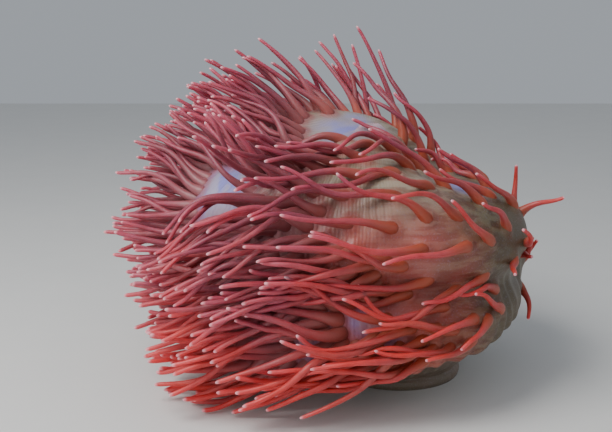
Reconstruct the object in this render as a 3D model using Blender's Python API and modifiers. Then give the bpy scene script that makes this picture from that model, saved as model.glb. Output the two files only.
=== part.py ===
"""Magnificent sea anemone, life size, resting on a flat floor in a steady current.

The animal stands on a round pedal disc. A short bulging column carries the oral disc, which has
grown over it like a thick cap and hangs almost to the floor at the front and the left. Finger-like
tentacles stand all over the cap except round the mouth, and the current sweeps them to -X.
The cap is parted by thin radial cuts into eight lobes, each one solid with its own tentacles.

Metres, +Z up, +X to the right, -Y to the front. The origin is the middle of the foot on the floor.
"""

import math

import bmesh
import bpy
import numpy as np
from mathutils import Matrix, kdtree

# Gap between two solids that meet.
GAP = 0.0003

# Foot and column, both centred on the origin. Radii are given by share of the height.
FOOT_RADIUS = 0.056
FOOT_HEIGHT = 0.009
FOOT_EDGE = ((1.0, 0.935), (0.72, 0.99), (0.32, 1.0), (0.0, 0.985))
COLUMN_TOP = 0.090
COLUMN_RADII = ((1.0, 0.080), (0.80, 0.085), (0.48, 0.082), (0.20, 0.069), (0.0, 0.053))
COLUMN_SIDES = 36

# Oral disc: a rounded cap about its own centre, with half extents along X, Y and Z.
DISC_CENTRE = np.array((-0.025, 0.0, 0.110))
DISC_HALF = np.array((0.134, 0.128, 0.102))
DISC_SQUARENESS = 2.4
DISC_SIDES = 40
DISC_RINGS = 11
CROWN_FLAT = 0.018

# Underside of the cap: a rolled lip, then a slope up to the recess that takes the column.
RECESS_RADIUS = 0.0868
LIP_DROP = 0.005
UNDERSIDE = ((0.22, -1.0), (0.62, -0.3), (1.0, 1.6))

# The disc's edge lies this far round from the crown, in degrees, by azimuth.
MARGIN_MEAN = 121.0
MARGIN_RIGHT = -13.0
MARGIN_FRONT = 3.0
MARGIN_WAVES = ((5, 3.0, 40.0), (8, 1.8, 10.0))

# Ridges (+) and furrows (-) across the disc. Each runs along a great circle between two
# directions (azimuth, elevation) from the disc's centre; width in radians, height in metres.
FOLDS = (
    ("back crest", (158, 40), (50, 54), 0.24, 0.019),
    ("crown furrow", (190, 58), (-15, 56), 0.16, -0.007),
    ("upper front bulge", (-75, 30), (-22, 22), 0.30, 0.007),
    ("waist furrow", (-112, 0), (-12, -4), 0.13, -0.013),
    ("lower front roll", (-150, -26), (-55, -25), 0.24, 0.006),
    ("left hollow", (-150, 52), (-158, 6), 0.15, -0.013),
    ("left shoulder", (-174, 14), (150, 22), 0.32, 0.021),
    ("back furrow", (118, 40), (105, -20), 0.15, -0.011),
    ("back roll", (60, -14), (20, -6), 0.26, 0.007),
    ("right slope", (-35, 42), (50, 42), 0.45, -0.032),
)

# Places where the disc is bare and the tentacles part: azimuth, elevation, radius and push.
PARTINGS = (
    ("mouth", 170, 76, 0.034, 0.9),
    ("crest slope", 98, 70, 0.029, 1.2),
    ("right slope", -28, 42, 0.024, 0.3),
    ("left hollow", -162, 24, 0.031, 1.8),
    ("waist", -96, -12, 0.015, 0.6),
    ("lower front", -116, -23, 0.014, 0.8),
    ("right margin", -20, -14, 0.034, 0.2),
)
PARTING_REACH = 1.6

# The partings stay open over this depth towards this azimuth and elevation.
PARTING_DEPTH = 0.060
PARTING_OPENING = (-100, 18)

# Lobes: the cap is cut at equal angles, each cut half way between two of the mesh's own lines.
LOBE_NAMES = ("right", "back_right", "back", "back_left", "left", "front_left", "front", "front_right")
LOBE_ANGLE = 2 * math.pi / len(LOBE_NAMES)
FIRST_CUT = -LOBE_ANGLE / 2
CENTRE_RADIUS = 0.027
CENTRE_SIDES = 32

# Mouth: an oval pad of lips with a slit, on the flat middle of the disc.
MOUTH_HALF = (0.0140, 0.0095, 0.0060)
SLIT_HALF = (0.0098, 0.0014, 0.0040)

# Tentacles of the whole animal, and how they grow. Their roots keep their distance from each other.
SEED = 23
ROOT_CANDIDATES = 3000
ROOT_SPACING = 0.0088
WINDWARD_SPACING = 0.0215
END_SPACING = 0.008
TENTACLE_LENGTH = 0.090
LENGTH_SPREAD = (0.84, 1.12)
TENTACLE_STEPS = 24
ROOT_RADIUS = 0.0047
MIDDLE_RADIUS = 0.0031
TIP_RADIUS = 0.0013
TAPER = 1.2
ROOT_FLARE = 0.20
BARE_CROWN_POLAR = 14.0
MARGIN_SHARE = 0.965
BARE_MARGIN = 0.04
BARE_MARGIN_FACING = (0.2, 0.8)
FLOOR_CLEARANCE = 0.0006

# Tentacles that would cross are moved apart: from and to which share of the length they give way
# to each other, and to the disc.
RELAX_ROUNDS = 6
RELAX_SMOOTHINGS = 3
GIVES_WAY = (0.06, 0.45)
CLEARS_DISC = (0.10, 0.25)

# Regions of the animal where the tentacles grow in their own way. Each is a product of smooth
# steps: the axis (0, 1 or 2 for X, Y or Z), where the step starts and where it is complete.
# The windward side also faces the current: the cosine of its azimuth runs between two values.
WINDWARD_FACING = (-0.10, 0.50)
HIGH_FRONT_SHARE = 0.9
ABOVE_MARGIN = ((2, 0.060, 0.115),)
HIGH_FRONT = ((0, -0.085, -0.035), (2, 0.135, 0.155), (1, 0.055, 0.025))
CALM = ((2, 0.150, 0.195), (1, -0.020, 0.030))
SHELTERED = (*CALM, (0, -0.075, -0.035), (0, 0.060, 0.030))
UPRIGHT = (*CALM, (0, -0.055, -0.015), (0, 0.060, 0.030))
CALM_RIGHT = ((2, 0.140, 0.175), (1, -0.030, 0.010), (0, 0.010, 0.040))
LEE = ((0, -0.100, -0.150),)
UPPER_LEFT = ((0, -0.035, -0.080), (2, 0.165, 0.195))
RIGHT = ((0, 0.030, 0.085),)
RIGHT_END = ((0, 0.070, 0.095),)
LOWER_RIGHT = ((0, 0.0, 0.050), (2, 0.100, 0.070))
LOW = ((2, 0.080, 0.030),)
PRESSED_FRONT = ((1, 0.012, -0.022), (0, -0.090, -0.040))
PRESSED_RIGHT = ((0, 0.0, 0.045),)
CROWN_LEVEL = ((2, 0.150, 0.190),)

# Share by which a region lengthens (+) or shortens (-) its tentacles.
LENGTH_CHANGES = (
    (LEE, -0.20),
    (RIGHT, -0.40),
    (CALM_RIGHT, -0.40),
    (LOWER_RIGHT, -0.35),
    (UPPER_LEFT, -0.14),
    (UPRIGHT, 0.11),
)

# The current flows to -X. It bends the tentacles round the disc while they are near it, lifts them
# off it, and fans them up above the middle height and down below it.
CURRENT = np.array((-1.0, 0.0, 0.0))
EDDY_SIZE = 0.030
EDDY_SHARE = 0.12
EDDY_SIDEWAYS = (0.9, 0.5)
EDDY_UPWARD = (0.8, -0.6)
NEAR_HEIGHT = 0.008
NEAR_FADE = 0.045
LIFT = 0.34
LIFT_SPREAD = (0.55, 1.55)
CALM_LIFT = 0.10
LOW_PRESS = 0.6
CROWN_PRESS = 0.6
FRONT_PRESS = 0.75
RIGHT_PRESS = 0.80
FAN_MIDDLE = 0.118
FAN_HEIGHT = 0.110
FAN_LIMITS = (-0.32, 0.45)
SHELTERED_RISE = 1.5
RISE_SPREAD = 0.55
RISE_FADE = 0.9
UPRIGHT_FADE = 0.6

# How far a tentacle leans into the current at its root, how quickly it turns into the stream and
# how it sways on the way.
LEAN = 0.4
WINDWARD_LEAN = 1.3
TURN = 0.30
CALM_TURN = -0.14
WINDWARD_TURN = 0.16
TURN_SPREAD = -0.12
SWING = (0.16, 0.44)
SWAYS = 1.1
SWAY_OVER = 0.6
SIDE_SPREAD = 0.8

# Tentacles that the current doesn't hold, over the crown and at the right end: azimuth and
# elevation of the root, heading and length.
STRAYS = (
    (-29, 55, (-1.0, 0.05, 0.55), 0.062),
    (-14, 66, (-1.0, -0.20, 0.34), 0.058),
    (4, 8, (1.0, -0.10, 0.28), 0.042),
    (12, 5, (0.02, 0.0, 1.0), 0.042),
    (-38, 9, (-0.05, -1.0, 0.10), 0.030),
    (-12, 3, (0.15, -0.95, 0.12), 0.026),
    (-4, 0, (0.25, -0.40, 0.80), 0.022),
    (8, 0, (0.55, -0.20, 0.90), 0.026),
)

# Tentacles that are made as solids, each a five-sided tube through a few of its steps.
SOLID_TENTACLES = 112
SOLID_SIDES = 5
SOLID_STEPS = (0, 3, 8, 15, 24)
ROOT_DEPTH = 0.006
CLEARANCE = 0.0009
REACH_DIRECTIONS = 26
REACH_LOWEST = -0.25

# Colour and roughness of each kind of flesh.
FINISHES = {
    "lobe_and_tentacle_flesh": ((0.62, 0.16, 0.12), 0.40),
    "disc_flesh": ((0.62, 0.56, 0.55), 0.42),
    "lip_flesh": ((0.72, 0.50, 0.48), 0.35),
    "column_skin": ((0.42, 0.34, 0.24), 0.48),
    "foot_skin": ((0.50, 0.42, 0.32), 0.50),
}


# ---------------------------------------------------------------- the disc's surface


def unit(rows):
    """Each row at length 1."""
    return rows / np.maximum(np.linalg.norm(rows, axis=-1, keepdims=True), 1e-12)


def dots(first, second):
    """The dot product of each pair of rows, as a column."""
    return np.sum(first * second, axis=-1, keepdims=True)


def smooth_step(value, low, high):
    """0 below low, 1 above high and smooth between."""
    share = np.clip((value - low) / (high - low), 0.0, 1.0)
    return share * share * (3 - 2 * share)


def direction(azimuth, polar):
    """Unit rows at these angles, in radians, from +X and from +Z."""
    return np.stack(
        (np.sin(polar) * np.cos(azimuth), np.sin(polar) * np.sin(azimuth), np.cos(polar)), axis=-1
    )


def arc_distance(rows, start, end):
    """Angle between each unit row and the great-circle arc between two directions in degrees."""
    first, last = (
        direction(math.radians(azimuth), math.radians(90 - elevation))
        for azimuth, elevation in (start, end)
    )
    pole = unit(np.cross(first, last))
    across = np.cross(pole, first)
    span = math.atan2(float(last @ across), float(last @ first))
    along = np.arctan2(rows @ across, rows @ first)
    along = np.where(along < span / 2 - math.pi, along + 2 * math.pi, along)
    along = np.clip(along, 0.0, span)[..., None]
    nearest = np.cos(along) * first + np.sin(along) * across
    return np.arccos(np.clip(np.sum(rows * nearest, axis=-1), -1.0, 1.0))


def disc_radius(rows):
    """Distance from the disc's centre to its surface along each unit row."""
    power = DISC_SQUARENESS
    radius = np.sum(np.abs(rows / DISC_HALF) ** power, axis=-1) ** (-1 / power)
    away_from_crown = smooth_step(np.arccos(np.clip(rows[..., 2], -1, 1)), 0.10, 0.42)
    for _, start, end, width, height in FOLDS:
        radius = radius + height * away_from_crown * np.exp(-((arc_distance(rows, start, end) / width) ** 2))
    return radius


def height_over_disc(points):
    """How far each point is outside the disc's surface, along its own ray."""
    ray = points - DISC_CENTRE
    return np.linalg.norm(ray, axis=-1) - disc_radius(unit(ray))


def disc_normal(points):
    """The disc's outward normal near each point."""
    step = 0.0015
    slope = [
        height_over_disc(points + step * axis) - height_over_disc(points - step * axis) for axis in np.eye(3)
    ]
    return unit(np.stack(slope, axis=-1))


def margin_polar(azimuth):
    """Polar angle of the disc's edge at each azimuth, in radians."""
    degrees = MARGIN_MEAN + MARGIN_RIGHT * np.cos(azimuth) - MARGIN_FRONT * np.sin(azimuth)
    for count, swing, phase in MARGIN_WAVES:
        degrees = degrees + swing * np.cos(count * azimuth + math.radians(phase))
    return np.radians(degrees)


def disc_azimuth(points):
    """Azimuth of each point about the disc's upright axis."""
    return np.arctan2(points[..., 1] - DISC_CENTRE[1], points[..., 0] - DISC_CENTRE[0])


# ---------------------------------------------------------------- how the tentacles grow


def share_of(region, points):
    """How far each point is inside a region, from 0 to 1."""
    share = np.ones(len(points))
    for axis, start, full in region:
        share = share * smooth_step(points[:, axis], start, full)
    return share


def windward_share(points):
    """1 on the side that meets the current and high at the front, 0 elsewhere."""
    facing = smooth_step(np.cos(disc_azimuth(points)), *WINDWARD_FACING)
    high_front = HIGH_FRONT_SHARE * share_of(HIGH_FRONT, points)
    return np.maximum(facing * share_of(ABOVE_MARGIN, points), high_front)


def parting_places():
    """Middle, radius and push of each bare place on the disc."""
    azimuth, elevation, radius, push = np.array([place[1:] for place in PARTINGS]).T
    rows = direction(np.radians(azimuth), np.radians(90 - elevation))
    middle = DISC_CENTRE + rows * disc_radius(rows)[:, None]
    return tuple(zip(middle, radius, push))


def tentacle_roots(draw):
    """Roots all over the disc, each at its distance from the others and off the bare places."""
    index = np.arange(ROOT_CANDIDATES)
    azimuth = index * math.pi * (3 - math.sqrt(5))
    crown = math.cos(math.radians(BARE_CROWN_POLAR))
    used = MARGIN_SHARE - BARE_MARGIN * smooth_step(np.cos(azimuth), *BARE_MARGIN_FACING)
    edge = np.cos(margin_polar(azimuth) * used)
    rows = direction(azimuth, np.arccos(crown - (index + 0.5) / ROOT_CANDIDATES * (crown - edge)))
    places = DISC_CENTRE + rows * disc_radius(rows)[:, None]
    bare = np.zeros(ROOT_CANDIDATES, dtype=bool)
    for middle, radius, _ in parting_places():
        bare |= np.linalg.norm(places - middle, axis=-1) < radius
    spacing = ROOT_SPACING + (WINDWARD_SPACING - ROOT_SPACING) * windward_share(places)
    spacing = spacing + END_SPACING * share_of(RIGHT_END, places)
    kept = []
    for candidate in draw.permutation(ROOT_CANDIDATES):
        distance = np.linalg.norm(places[kept] - places[candidate], axis=-1)
        if not bare[candidate] and np.all(distance > spacing[candidate]):
            kept.append(candidate)
    return places[np.sort(kept)]


def find_strays(roots):
    """Which tentacles are strays, with a heading and a length for each tentacle."""
    free = np.zeros(len(roots))
    headings = np.zeros_like(roots)
    lengths = np.zeros(len(roots))
    rays = unit(roots - DISC_CENTRE)
    for azimuth, elevation, heading, length in STRAYS:
        aim = direction(math.radians(azimuth), math.radians(90 - elevation))
        nearest = int(np.argmax(rays @ aim - 2 * free))
        free[nearest] = 1.0
        headings[nearest] = unit(np.array(heading))
        lengths[nearest] = length
    return free, headings, lengths


def stream(points, normals, near, lift, rise):
    """Direction that the water gives a tentacle: along the current, round the disc and off it."""
    x, y, z = points.T / EDDY_SIZE
    sideways = np.sin(EDDY_SIDEWAYS[0] * z + EDDY_SIDEWAYS[1] * x)
    upwards = np.sin(EDDY_UPWARD[0] * x + EDDY_UPWARD[1] * y)
    eddy = np.stack((np.zeros_like(x), sideways, upwards), axis=-1)
    current = unit(CURRENT + EDDY_SHARE * eddy)
    into = np.minimum(0.0, dots(current, normals))
    along = unit(current - into * normals * near)
    upward = np.array((0.0, 0.0, 1.0))
    azimuth, elevation = PARTING_OPENING
    opening = direction(math.radians(azimuth), math.radians(90 - elevation))
    push = 0.0
    for middle, radius, strength in parting_places():
        away = points - middle
        away = away - np.clip(dots(away, opening), 0.0, PARTING_DEPTH) * opening
        aside = away - dots(away, along) * along - dots(away, normals) * normals
        reach = np.linalg.norm(away, axis=-1, keepdims=True) / (PARTING_REACH * radius)
        push = push + strength * unit(aside) * np.exp(-(reach**2))
    return unit(along + lift * normals * near + rise * upward + push)


def tentacle_lengths(roots, stretch, free, lengths):
    """Length of each tentacle, from its share of the spread and the regions that its root is in."""
    low, high = LENGTH_SPREAD
    length = TENTACLE_LENGTH * (low + (high - low) * stretch)
    for region, change in LENGTH_CHANGES:
        length = length * (1 + change * share_of(region, roots))
    return np.where(free > 0, lengths, length)


def first_headings(roots, free):
    """Direction in which each tentacle leaves the disc: off it, and leaning into the current."""
    normal = disc_normal(roots)
    along = unit(CURRENT - normal * (normal @ CURRENT)[:, None])
    exposed = (1 - free) * (1 - share_of(SHELTERED, roots))
    lean = LEAN + WINDWARD_LEAN * windward_share(roots) * exposed
    return unit(normal + lean[:, None] * along)


def grow_tentacles():
    """Centre lines of all tentacles, as an array of tentacle, step and xyz."""
    draw = np.random.default_rng(SEED)
    roots = tentacle_roots(draw)
    stretch, tilt, raised, aside, quick, sway, swing = draw.random((7, len(roots)))
    free, headings, lengths = find_strays(roots)
    calm = share_of(CALM, roots)
    held = 1 - UPRIGHT_FADE * share_of(UPRIGHT, roots)
    pressed = FRONT_PRESS * share_of(PRESSED_FRONT, roots)
    pressed = np.maximum(pressed, RIGHT_PRESS * share_of(PRESSED_RIGHT, roots))
    fan = np.clip((roots[:, 2] - FAN_MIDDLE) / FAN_HEIGHT, *FAN_LIMITS) * (1 - pressed)
    rise = fan + SHELTERED_RISE * share_of(SHELTERED, roots) + RISE_SPREAD * (tilt - 0.5)
    lift = LIFT * (LIFT_SPREAD[0] + (LIFT_SPREAD[1] - LIFT_SPREAD[0]) * raised)
    lift = lift * (1 - LOW_PRESS * share_of(LOW, roots))
    lift = lift * (1 - CROWN_PRESS * pressed * share_of(CROWN_LEVEL, roots)) + CALM_LIFT * calm
    turn = TURN + CALM_TURN * calm + TURN_SPREAD * quick + WINDWARD_TURN * windward_share(roots)
    swing = SWING[0] + (SWING[1] - SWING[0]) * swing
    step = (tentacle_lengths(roots, stretch, free, lengths) / TENTACLE_STEPS)[:, None]
    heading = first_headings(roots, free)
    points = roots.copy()
    line = [points]
    for k in range(TENTACLE_STEPS):
        out = disc_normal(points)
        height = height_over_disc(points)[:, None]
        near = np.exp(-np.maximum(height - NEAR_HEIGHT, 0.0) / NEAR_FADE)
        share = (k + 1) / TENTACLE_STEPS
        fade = 1 - RISE_FADE * share * held
        pull = stream(points, out, near, lift[:, None], (rise * fade)[:, None])
        pull = pull + (headings - pull) * free[:, None]
        side = unit(np.cross(pull, out))
        over = np.cross(side, pull)
        wave = (swing * np.sin(2 * math.pi * (SWAYS * share + sway)))[:, None]
        twist = wave * (side + SWAY_OVER * over) + SIDE_SPREAD * (aside[:, None] - 0.5) * side
        heading = unit(heading + turn[:, None] * (pull + twist - heading))
        points = points + heading * step
        points[:, 2] = np.maximum(points[:, 2], MIDDLE_RADIUS + FLOOR_CLEARANCE)
        line.append(points)
    return part_tentacles(np.stack(line, axis=1))


def tentacle_radius(share):
    """Radius at each share of the way from root to tip: a flared root and a slender tip."""
    share = np.asarray(share, dtype=float)
    flare = (ROOT_RADIUS - MIDDLE_RADIUS) * np.exp(-((share / ROOT_FLARE) ** 2))
    return MIDDLE_RADIUS + (TIP_RADIUS - MIDDLE_RADIUS) * share**TAPER + flare


def part_tentacles(line):
    """The same lines, moved apart where tentacles would run through each other or the disc."""
    count, steps, _ = line.shape
    share = np.linspace(0.0, 1.0, steps)
    radius = np.tile(tentacle_radius(share), count)
    owner = np.repeat(np.arange(count), steps)
    free = smooth_step(share, *GIVES_WAY)[None, :, None]
    clears = smooth_step(share, *CLEARS_DISC)[None, :, None]
    for _ in range(RELAX_ROUNDS):
        points = line.reshape(-1, 3)
        tree = kdtree.KDTree(len(points))
        for index, point in enumerate(points):
            tree.insert(point, index)
        tree.balance()
        push = np.zeros_like(points)
        for index, point in enumerate(points):
            for place, other, distance in tree.find_range(point, 2 * MIDDLE_RADIUS + CLEARANCE):
                room = radius[index] + radius[other] + CLEARANCE - distance
                if owner[other] != owner[index] and room > 0:
                    push[index] += (point - place) * (0.5 * room / max(distance, 1e-5))
        push = push.reshape(line.shape) * free
        for _ in range(RELAX_SMOOTHINGS):
            push[:, 1:-1] = 0.25 * push[:, :-2] + 0.5 * push[:, 1:-1] + 0.25 * push[:, 2:]
        line = line + push
        out = disc_normal(line.reshape(-1, 3)).reshape(line.shape)
        sunk = MIDDLE_RADIUS + CLEARANCE - height_over_disc(line)
        line = line + out * np.maximum(sunk, 0.0)[..., None] * clears
        line[..., 2] = np.maximum(line[..., 2], MIDDLE_RADIUS + FLOOR_CLEARANCE)
    return line


# ---------------------------------------------------------------- which tentacles are solids


def lobe_of(points):
    """Number of the lobe that each point is over, and the distance to its nearest cut."""
    turn = (disc_azimuth(points) - FIRST_CUT) % (2 * math.pi)
    number = (turn // LOBE_ANGLE).astype(int)
    to_cut = np.minimum(turn % LOBE_ANGLE, LOBE_ANGLE - turn % LOBE_ANGLE)
    spoke = np.hypot(points[..., 0] - DISC_CENTRE[0], points[..., 1] - DISC_CENTRE[1])
    return number, spoke * np.sin(to_cut)


def solid_line(line):
    """Points and radii of a tentacle's solid along its few steps, closely spaced for measuring."""
    steps = np.array(SOLID_STEPS)
    fine = np.linspace(0, TENTACLE_STEPS, 2 * TENTACLE_STEPS + 1)
    points = np.stack([np.interp(fine, steps, line[steps, axis]) for axis in range(3)], axis=-1)
    return points, np.interp(fine, steps, tentacle_radius(steps / TENTACLE_STEPS))


def stands_clear(points, radius):
    """True where a tentacle's solid leaves its own lobe cleanly and touches no other part."""
    number, to_cut = lobe_of(points)
    rooted = to_cut[0] > ROOT_RADIUS + 2 * CLEARANCE
    spoke = np.hypot(points[0, 0] - DISC_CENTRE[0], points[0, 1] - DISC_CENTRE[1])
    above = height_over_disc(points) > radius + CLEARANCE
    inside = (number == number[0]) & (to_cut > radius + CLEARANCE)
    lifted = above[len(above) // 4 :]
    crown = DISC_CENTRE + np.array((0.0, 0.0, DISC_HALF[2]))
    off_mouth = np.linalg.norm(points - crown, axis=-1) > MOUTH_HALF[0] + radius + CLEARANCE
    off_centre = spoke > CENTRE_RADIUS + ROOT_RADIUS + 2 * CLEARANCE
    return rooted and off_centre and np.all(above | inside) and np.all(lifted) and np.all(off_mouth)


def choose_solids(lines):
    """Numbers of the tentacles made as solids: those that reach furthest, then an even spread."""
    measured = [solid_line(line) for line in lines]
    open_to_choice = [number for number, pair in enumerate(measured) if stands_clear(*pair)]
    tips = lines[:, -1]
    index = np.arange(REACH_DIRECTIONS)
    polar = np.arccos(1 - (1 - REACH_LOWEST) * (index + 0.5) / REACH_DIRECTIONS)
    reach = tips @ direction(index * math.pi * (3 - math.sqrt(5)), polar).T
    queue = [max(open_to_choice, key=lambda number: reach[number, way]) for way in index]
    chosen = []
    nearest = np.full(len(lines), np.inf)
    while len(chosen) < SOLID_TENTACLES and open_to_choice:
        number = queue.pop(0) if queue else max(open_to_choice, key=lambda other: nearest[other])
        if number not in open_to_choice:
            continue
        open_to_choice.remove(number)
        points, radius = measured[number]
        apart = all(
            np.all(
                np.linalg.norm(points[:, None] - measured[other][0][None], axis=-1)
                > radius[:, None] + measured[other][1][None] + CLEARANCE
            )
            for other in chosen
        )
        if apart:
            chosen.append(number)
            nearest = np.minimum(nearest, np.linalg.norm(tips - tips[number], axis=-1))
    return chosen


# ---------------------------------------------------------------- building the solids


def clear_scene():
    """Remove every object that is already in the file."""
    for thing in list(bpy.data.objects):
        bpy.data.objects.remove(thing, do_unlink=True)


def new_collection(name):
    """A collection in the scene."""
    collection = bpy.data.collections.new(name)
    bpy.context.scene.collection.children.link(collection)
    return collection


def flesh(name):
    """A Principled material in one of the finishes."""
    colour, roughness = FINISHES[name]
    material = bpy.data.materials.new(name)
    material.use_nodes = True
    shader = material.node_tree.nodes["Principled BSDF"]
    shader.inputs["Base Color"].default_value = (*colour, 1.0)
    shader.inputs["Roughness"].default_value = roughness
    shader.inputs["Metallic"].default_value = 0.0
    material.diffuse_color = (*colour, 1.0)
    return material


def object_from(shape, name, collection):
    """A new object with the bmesh as its mesh."""
    mesh = bpy.data.meshes.new(name)
    shape.to_mesh(mesh)
    shape.free()
    thing = bpy.data.objects.new(name, mesh)
    collection.objects.link(thing)
    return thing


def as_guide(thing):
    """Mark an object as a cutter or a piece that is joined into another."""
    thing.hide_render = True
    thing.display_type = "WIRE"
    return thing


def boolean(thing, operation, other):
    """Cut or join one object with another."""
    modifier = thing.modifiers.new(operation.title(), "BOOLEAN")
    modifier.operation = operation
    modifier.solver = "EXACT"
    modifier.object = other
    return modifier


def turned(name, profile, sides, collection):
    """A solid of revolution about the Z axis from (radius, height) points, top to bottom."""
    shape = bmesh.new()
    corners = [shape.verts.new((radius, 0.0, height)) for radius, height in profile]
    for upper, lower in zip(corners, corners[1:]):
        shape.edges.new((upper, lower))
    thing = object_from(shape, name, collection)
    screw = thing.modifiers.new("Turn", "SCREW")
    screw.steps = sides
    screw.render_steps = sides
    screw.use_merge_vertices = True
    screw.merge_threshold = 0.00001
    return thing


def recess_distance(azimuth):
    """Distance from the disc's axis to the wall of the column's recess, which is round the origin."""
    offset = -DISC_CENTRE[0]
    return offset * np.cos(azimuth) + np.sqrt(RECESS_RADIUS**2 - (offset * np.sin(azimuth)) ** 2)


def cap_point(azimuth, ring):
    """Place of the cap's vertex at this azimuth: rings run from the crown over the edge to the roof."""
    roof = COLUMN_TOP + GAP
    around = np.array((math.cos(azimuth), math.sin(azimuth), 0.0))
    upright = np.array((0.0, 0.0, 1.0))
    axis = DISC_CENTRE * (1.0, 1.0, 0.0)
    crown = DISC_CENTRE[2] + DISC_HALF[2]
    if ring == 0:
        return axis + upright * crown
    if ring == 1:
        return axis + around * CROWN_FLAT + upright * crown
    first = math.atan2(CROWN_FLAT, DISC_HALF[2])
    polar = first + (float(margin_polar(azimuth)) - first) * (min(ring, DISC_RINGS) - 1) / (DISC_RINGS - 1)
    row = direction(azimuth, polar)
    surface = DISC_CENTRE + row * disc_radius(row)
    if ring <= DISC_RINGS:
        return surface
    wall = float(recess_distance(azimuth))
    edge = float(np.hypot(*(surface - DISC_CENTRE)[:2]))
    if ring <= DISC_RINGS + len(UNDERSIDE):
        inward, climb = UNDERSIDE[ring - DISC_RINGS - 1]
        height = surface[2] + climb * LIP_DROP
        return axis + around * (edge + inward * (wall - edge)) + upright * height
    if ring == DISC_RINGS + len(UNDERSIDE) + 1:
        return axis + around * wall + upright * roof
    return axis + upright * roof


def build_cap(collection):
    """The whole oral disc as one closed form, from a ball whose rings are laid on the cap."""
    rings = DISC_RINGS + len(UNDERSIDE) + 2
    shape = bmesh.new()
    bmesh.ops.create_uvsphere(shape, u_segments=DISC_SIDES, v_segments=rings, radius=1.0)
    for corner in shape.verts:
        azimuth = math.atan2(corner.co.y, corner.co.x)
        ring = round(math.acos(max(-1.0, min(1.0, corner.co.z))) / math.pi * rings)
        corner.co = cap_point(azimuth, ring)
    return as_guide(object_from(shape, "whole_disc", collection))


def build_wedge(number, collection):
    """Cutter that keeps one lobe: a sector that stays half a gap off its two cuts and off the centre."""
    low, high = -0.05, 0.40
    far = 0.40
    shape = bmesh.new()
    start = FIRST_CUT + number * LOBE_ANGLE
    parts = CENTRE_SIDES // len(LOBE_NAMES)
    inner = CENTRE_RADIUS + GAP / 2
    outline = []
    for k in range(parts + 1):
        angle = start + LOBE_ANGLE * k / parts
        outline.append((inner * math.cos(angle), inner * math.sin(angle)))
    for k in range(parts, -1, -1):
        angle = start + LOBE_ANGLE * k / parts
        outline.append((far * math.cos(angle), far * math.sin(angle)))
    corners = [shape.verts.new((x, y, low)) for x, y in outline]
    floor = shape.faces.new(corners)
    raised = bmesh.ops.extrude_face_region(shape, geom=[floor])
    top = [item for item in raised["geom"] if isinstance(item, bmesh.types.BMVert)]
    bmesh.ops.translate(shape, vec=(0, 0, high - low), verts=top)
    bmesh.ops.recalc_face_normals(shape, faces=shape.faces)
    # Moving the sector outwards along its middle opens the same gap at both cuts.
    middle = start + LOBE_ANGLE / 2
    out = GAP / 2 / math.sin(LOBE_ANGLE / 2)
    shift = (out * math.cos(middle) + DISC_CENTRE[0], out * math.sin(middle) + DISC_CENTRE[1], 0.0)
    bmesh.ops.translate(shape, vec=shift, verts=shape.verts)
    return as_guide(object_from(shape, f"sector_{number}", collection))


def build_tentacles(lines, name, collection):
    """Five-sided tubes along the lines, each rooted inside the disc, as one mesh to be joined on."""
    outline = bpy.data.curves.new(name + "_outline", "CURVE")
    ring = outline.splines.new("POLY")
    ring.points.add(SOLID_SIDES - 1)
    for k, point in enumerate(ring.points):
        angle = 2 * math.pi * k / SOLID_SIDES
        point.co = (math.cos(angle), math.sin(angle), 0.0, 1.0)
    ring.use_cyclic_u = True
    pattern = bpy.data.objects.new(name + "_outline", outline)
    curve = bpy.data.curves.new(name, "CURVE")
    curve.dimensions = "3D"
    curve.bevel_mode = "OBJECT"
    curve.bevel_object = pattern
    curve.use_fill_caps = True
    steps = np.array(SOLID_STEPS)
    radii = tentacle_radius(steps / TENTACLE_STEPS)
    for line in lines:
        buried = line[0] - disc_normal(line[:1])[0] * ROOT_DEPTH
        places = [buried, *line[steps[1:]]]
        spline = curve.splines.new("POLY")
        spline.points.add(len(places) - 1)
        for point, place, radius in zip(spline.points, places, radii):
            point.co = (*place, 1.0)
            point.radius = radius
    tube = bpy.data.objects.new(name + "_tubes", curve)
    collection.objects.link(pattern)
    collection.objects.link(tube)
    mesh = bpy.data.meshes.new_from_object(tube.evaluated_get(bpy.context.evaluated_depsgraph_get()))
    shape = bmesh.new()
    shape.from_mesh(mesh)
    bmesh.ops.remove_doubles(shape, verts=shape.verts, dist=0.00001)
    bmesh.ops.recalc_face_normals(shape, faces=shape.faces)
    bpy.data.objects.remove(tube)
    bpy.data.objects.remove(pattern)
    return as_guide(object_from(shape, name, collection))


def build_lobes(cap, parts, cutters, material):
    """The eight lobes of the disc, each joined with its tentacles."""
    lines = grow_tentacles()
    chosen = choose_solids(lines)
    owner, _ = lobe_of(lines[chosen][:, 0])
    for number, name in enumerate(LOBE_NAMES):
        lobe = bpy.data.objects.new("lobe_" + name, cap.data.copy())
        parts.objects.link(lobe)
        lobe.data.materials.append(material)
        boolean(lobe, "INTERSECT", build_wedge(number, cutters))
        own = [lines[tentacle] for tentacle, lobe_number in zip(chosen, owner) if lobe_number == number]
        boolean(lobe, "UNION", build_tentacles(own, "tentacles_" + name, cutters))


def build_centre(cap, parts, cutters, material):
    """The middle of the oral disc, a round plug between the lobes."""
    shape = bmesh.new()
    bmesh.ops.create_cone(
        shape,
        cap_ends=True,
        segments=CENTRE_SIDES,
        radius1=CENTRE_RADIUS - GAP / 2,
        radius2=CENTRE_RADIUS - GAP / 2,
        depth=0.5,
        matrix=Matrix.Translation((DISC_CENTRE[0], DISC_CENTRE[1], 0.2))
        @ Matrix.Rotation(FIRST_CUT, 4, "Z"),
    )
    plug = as_guide(object_from(shape, "plug", cutters))
    centre = bpy.data.objects.new("oral_disc_centre", cap.data.copy())
    parts.objects.link(centre)
    centre.data.materials.append(material)
    boolean(centre, "INTERSECT", plug)


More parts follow.
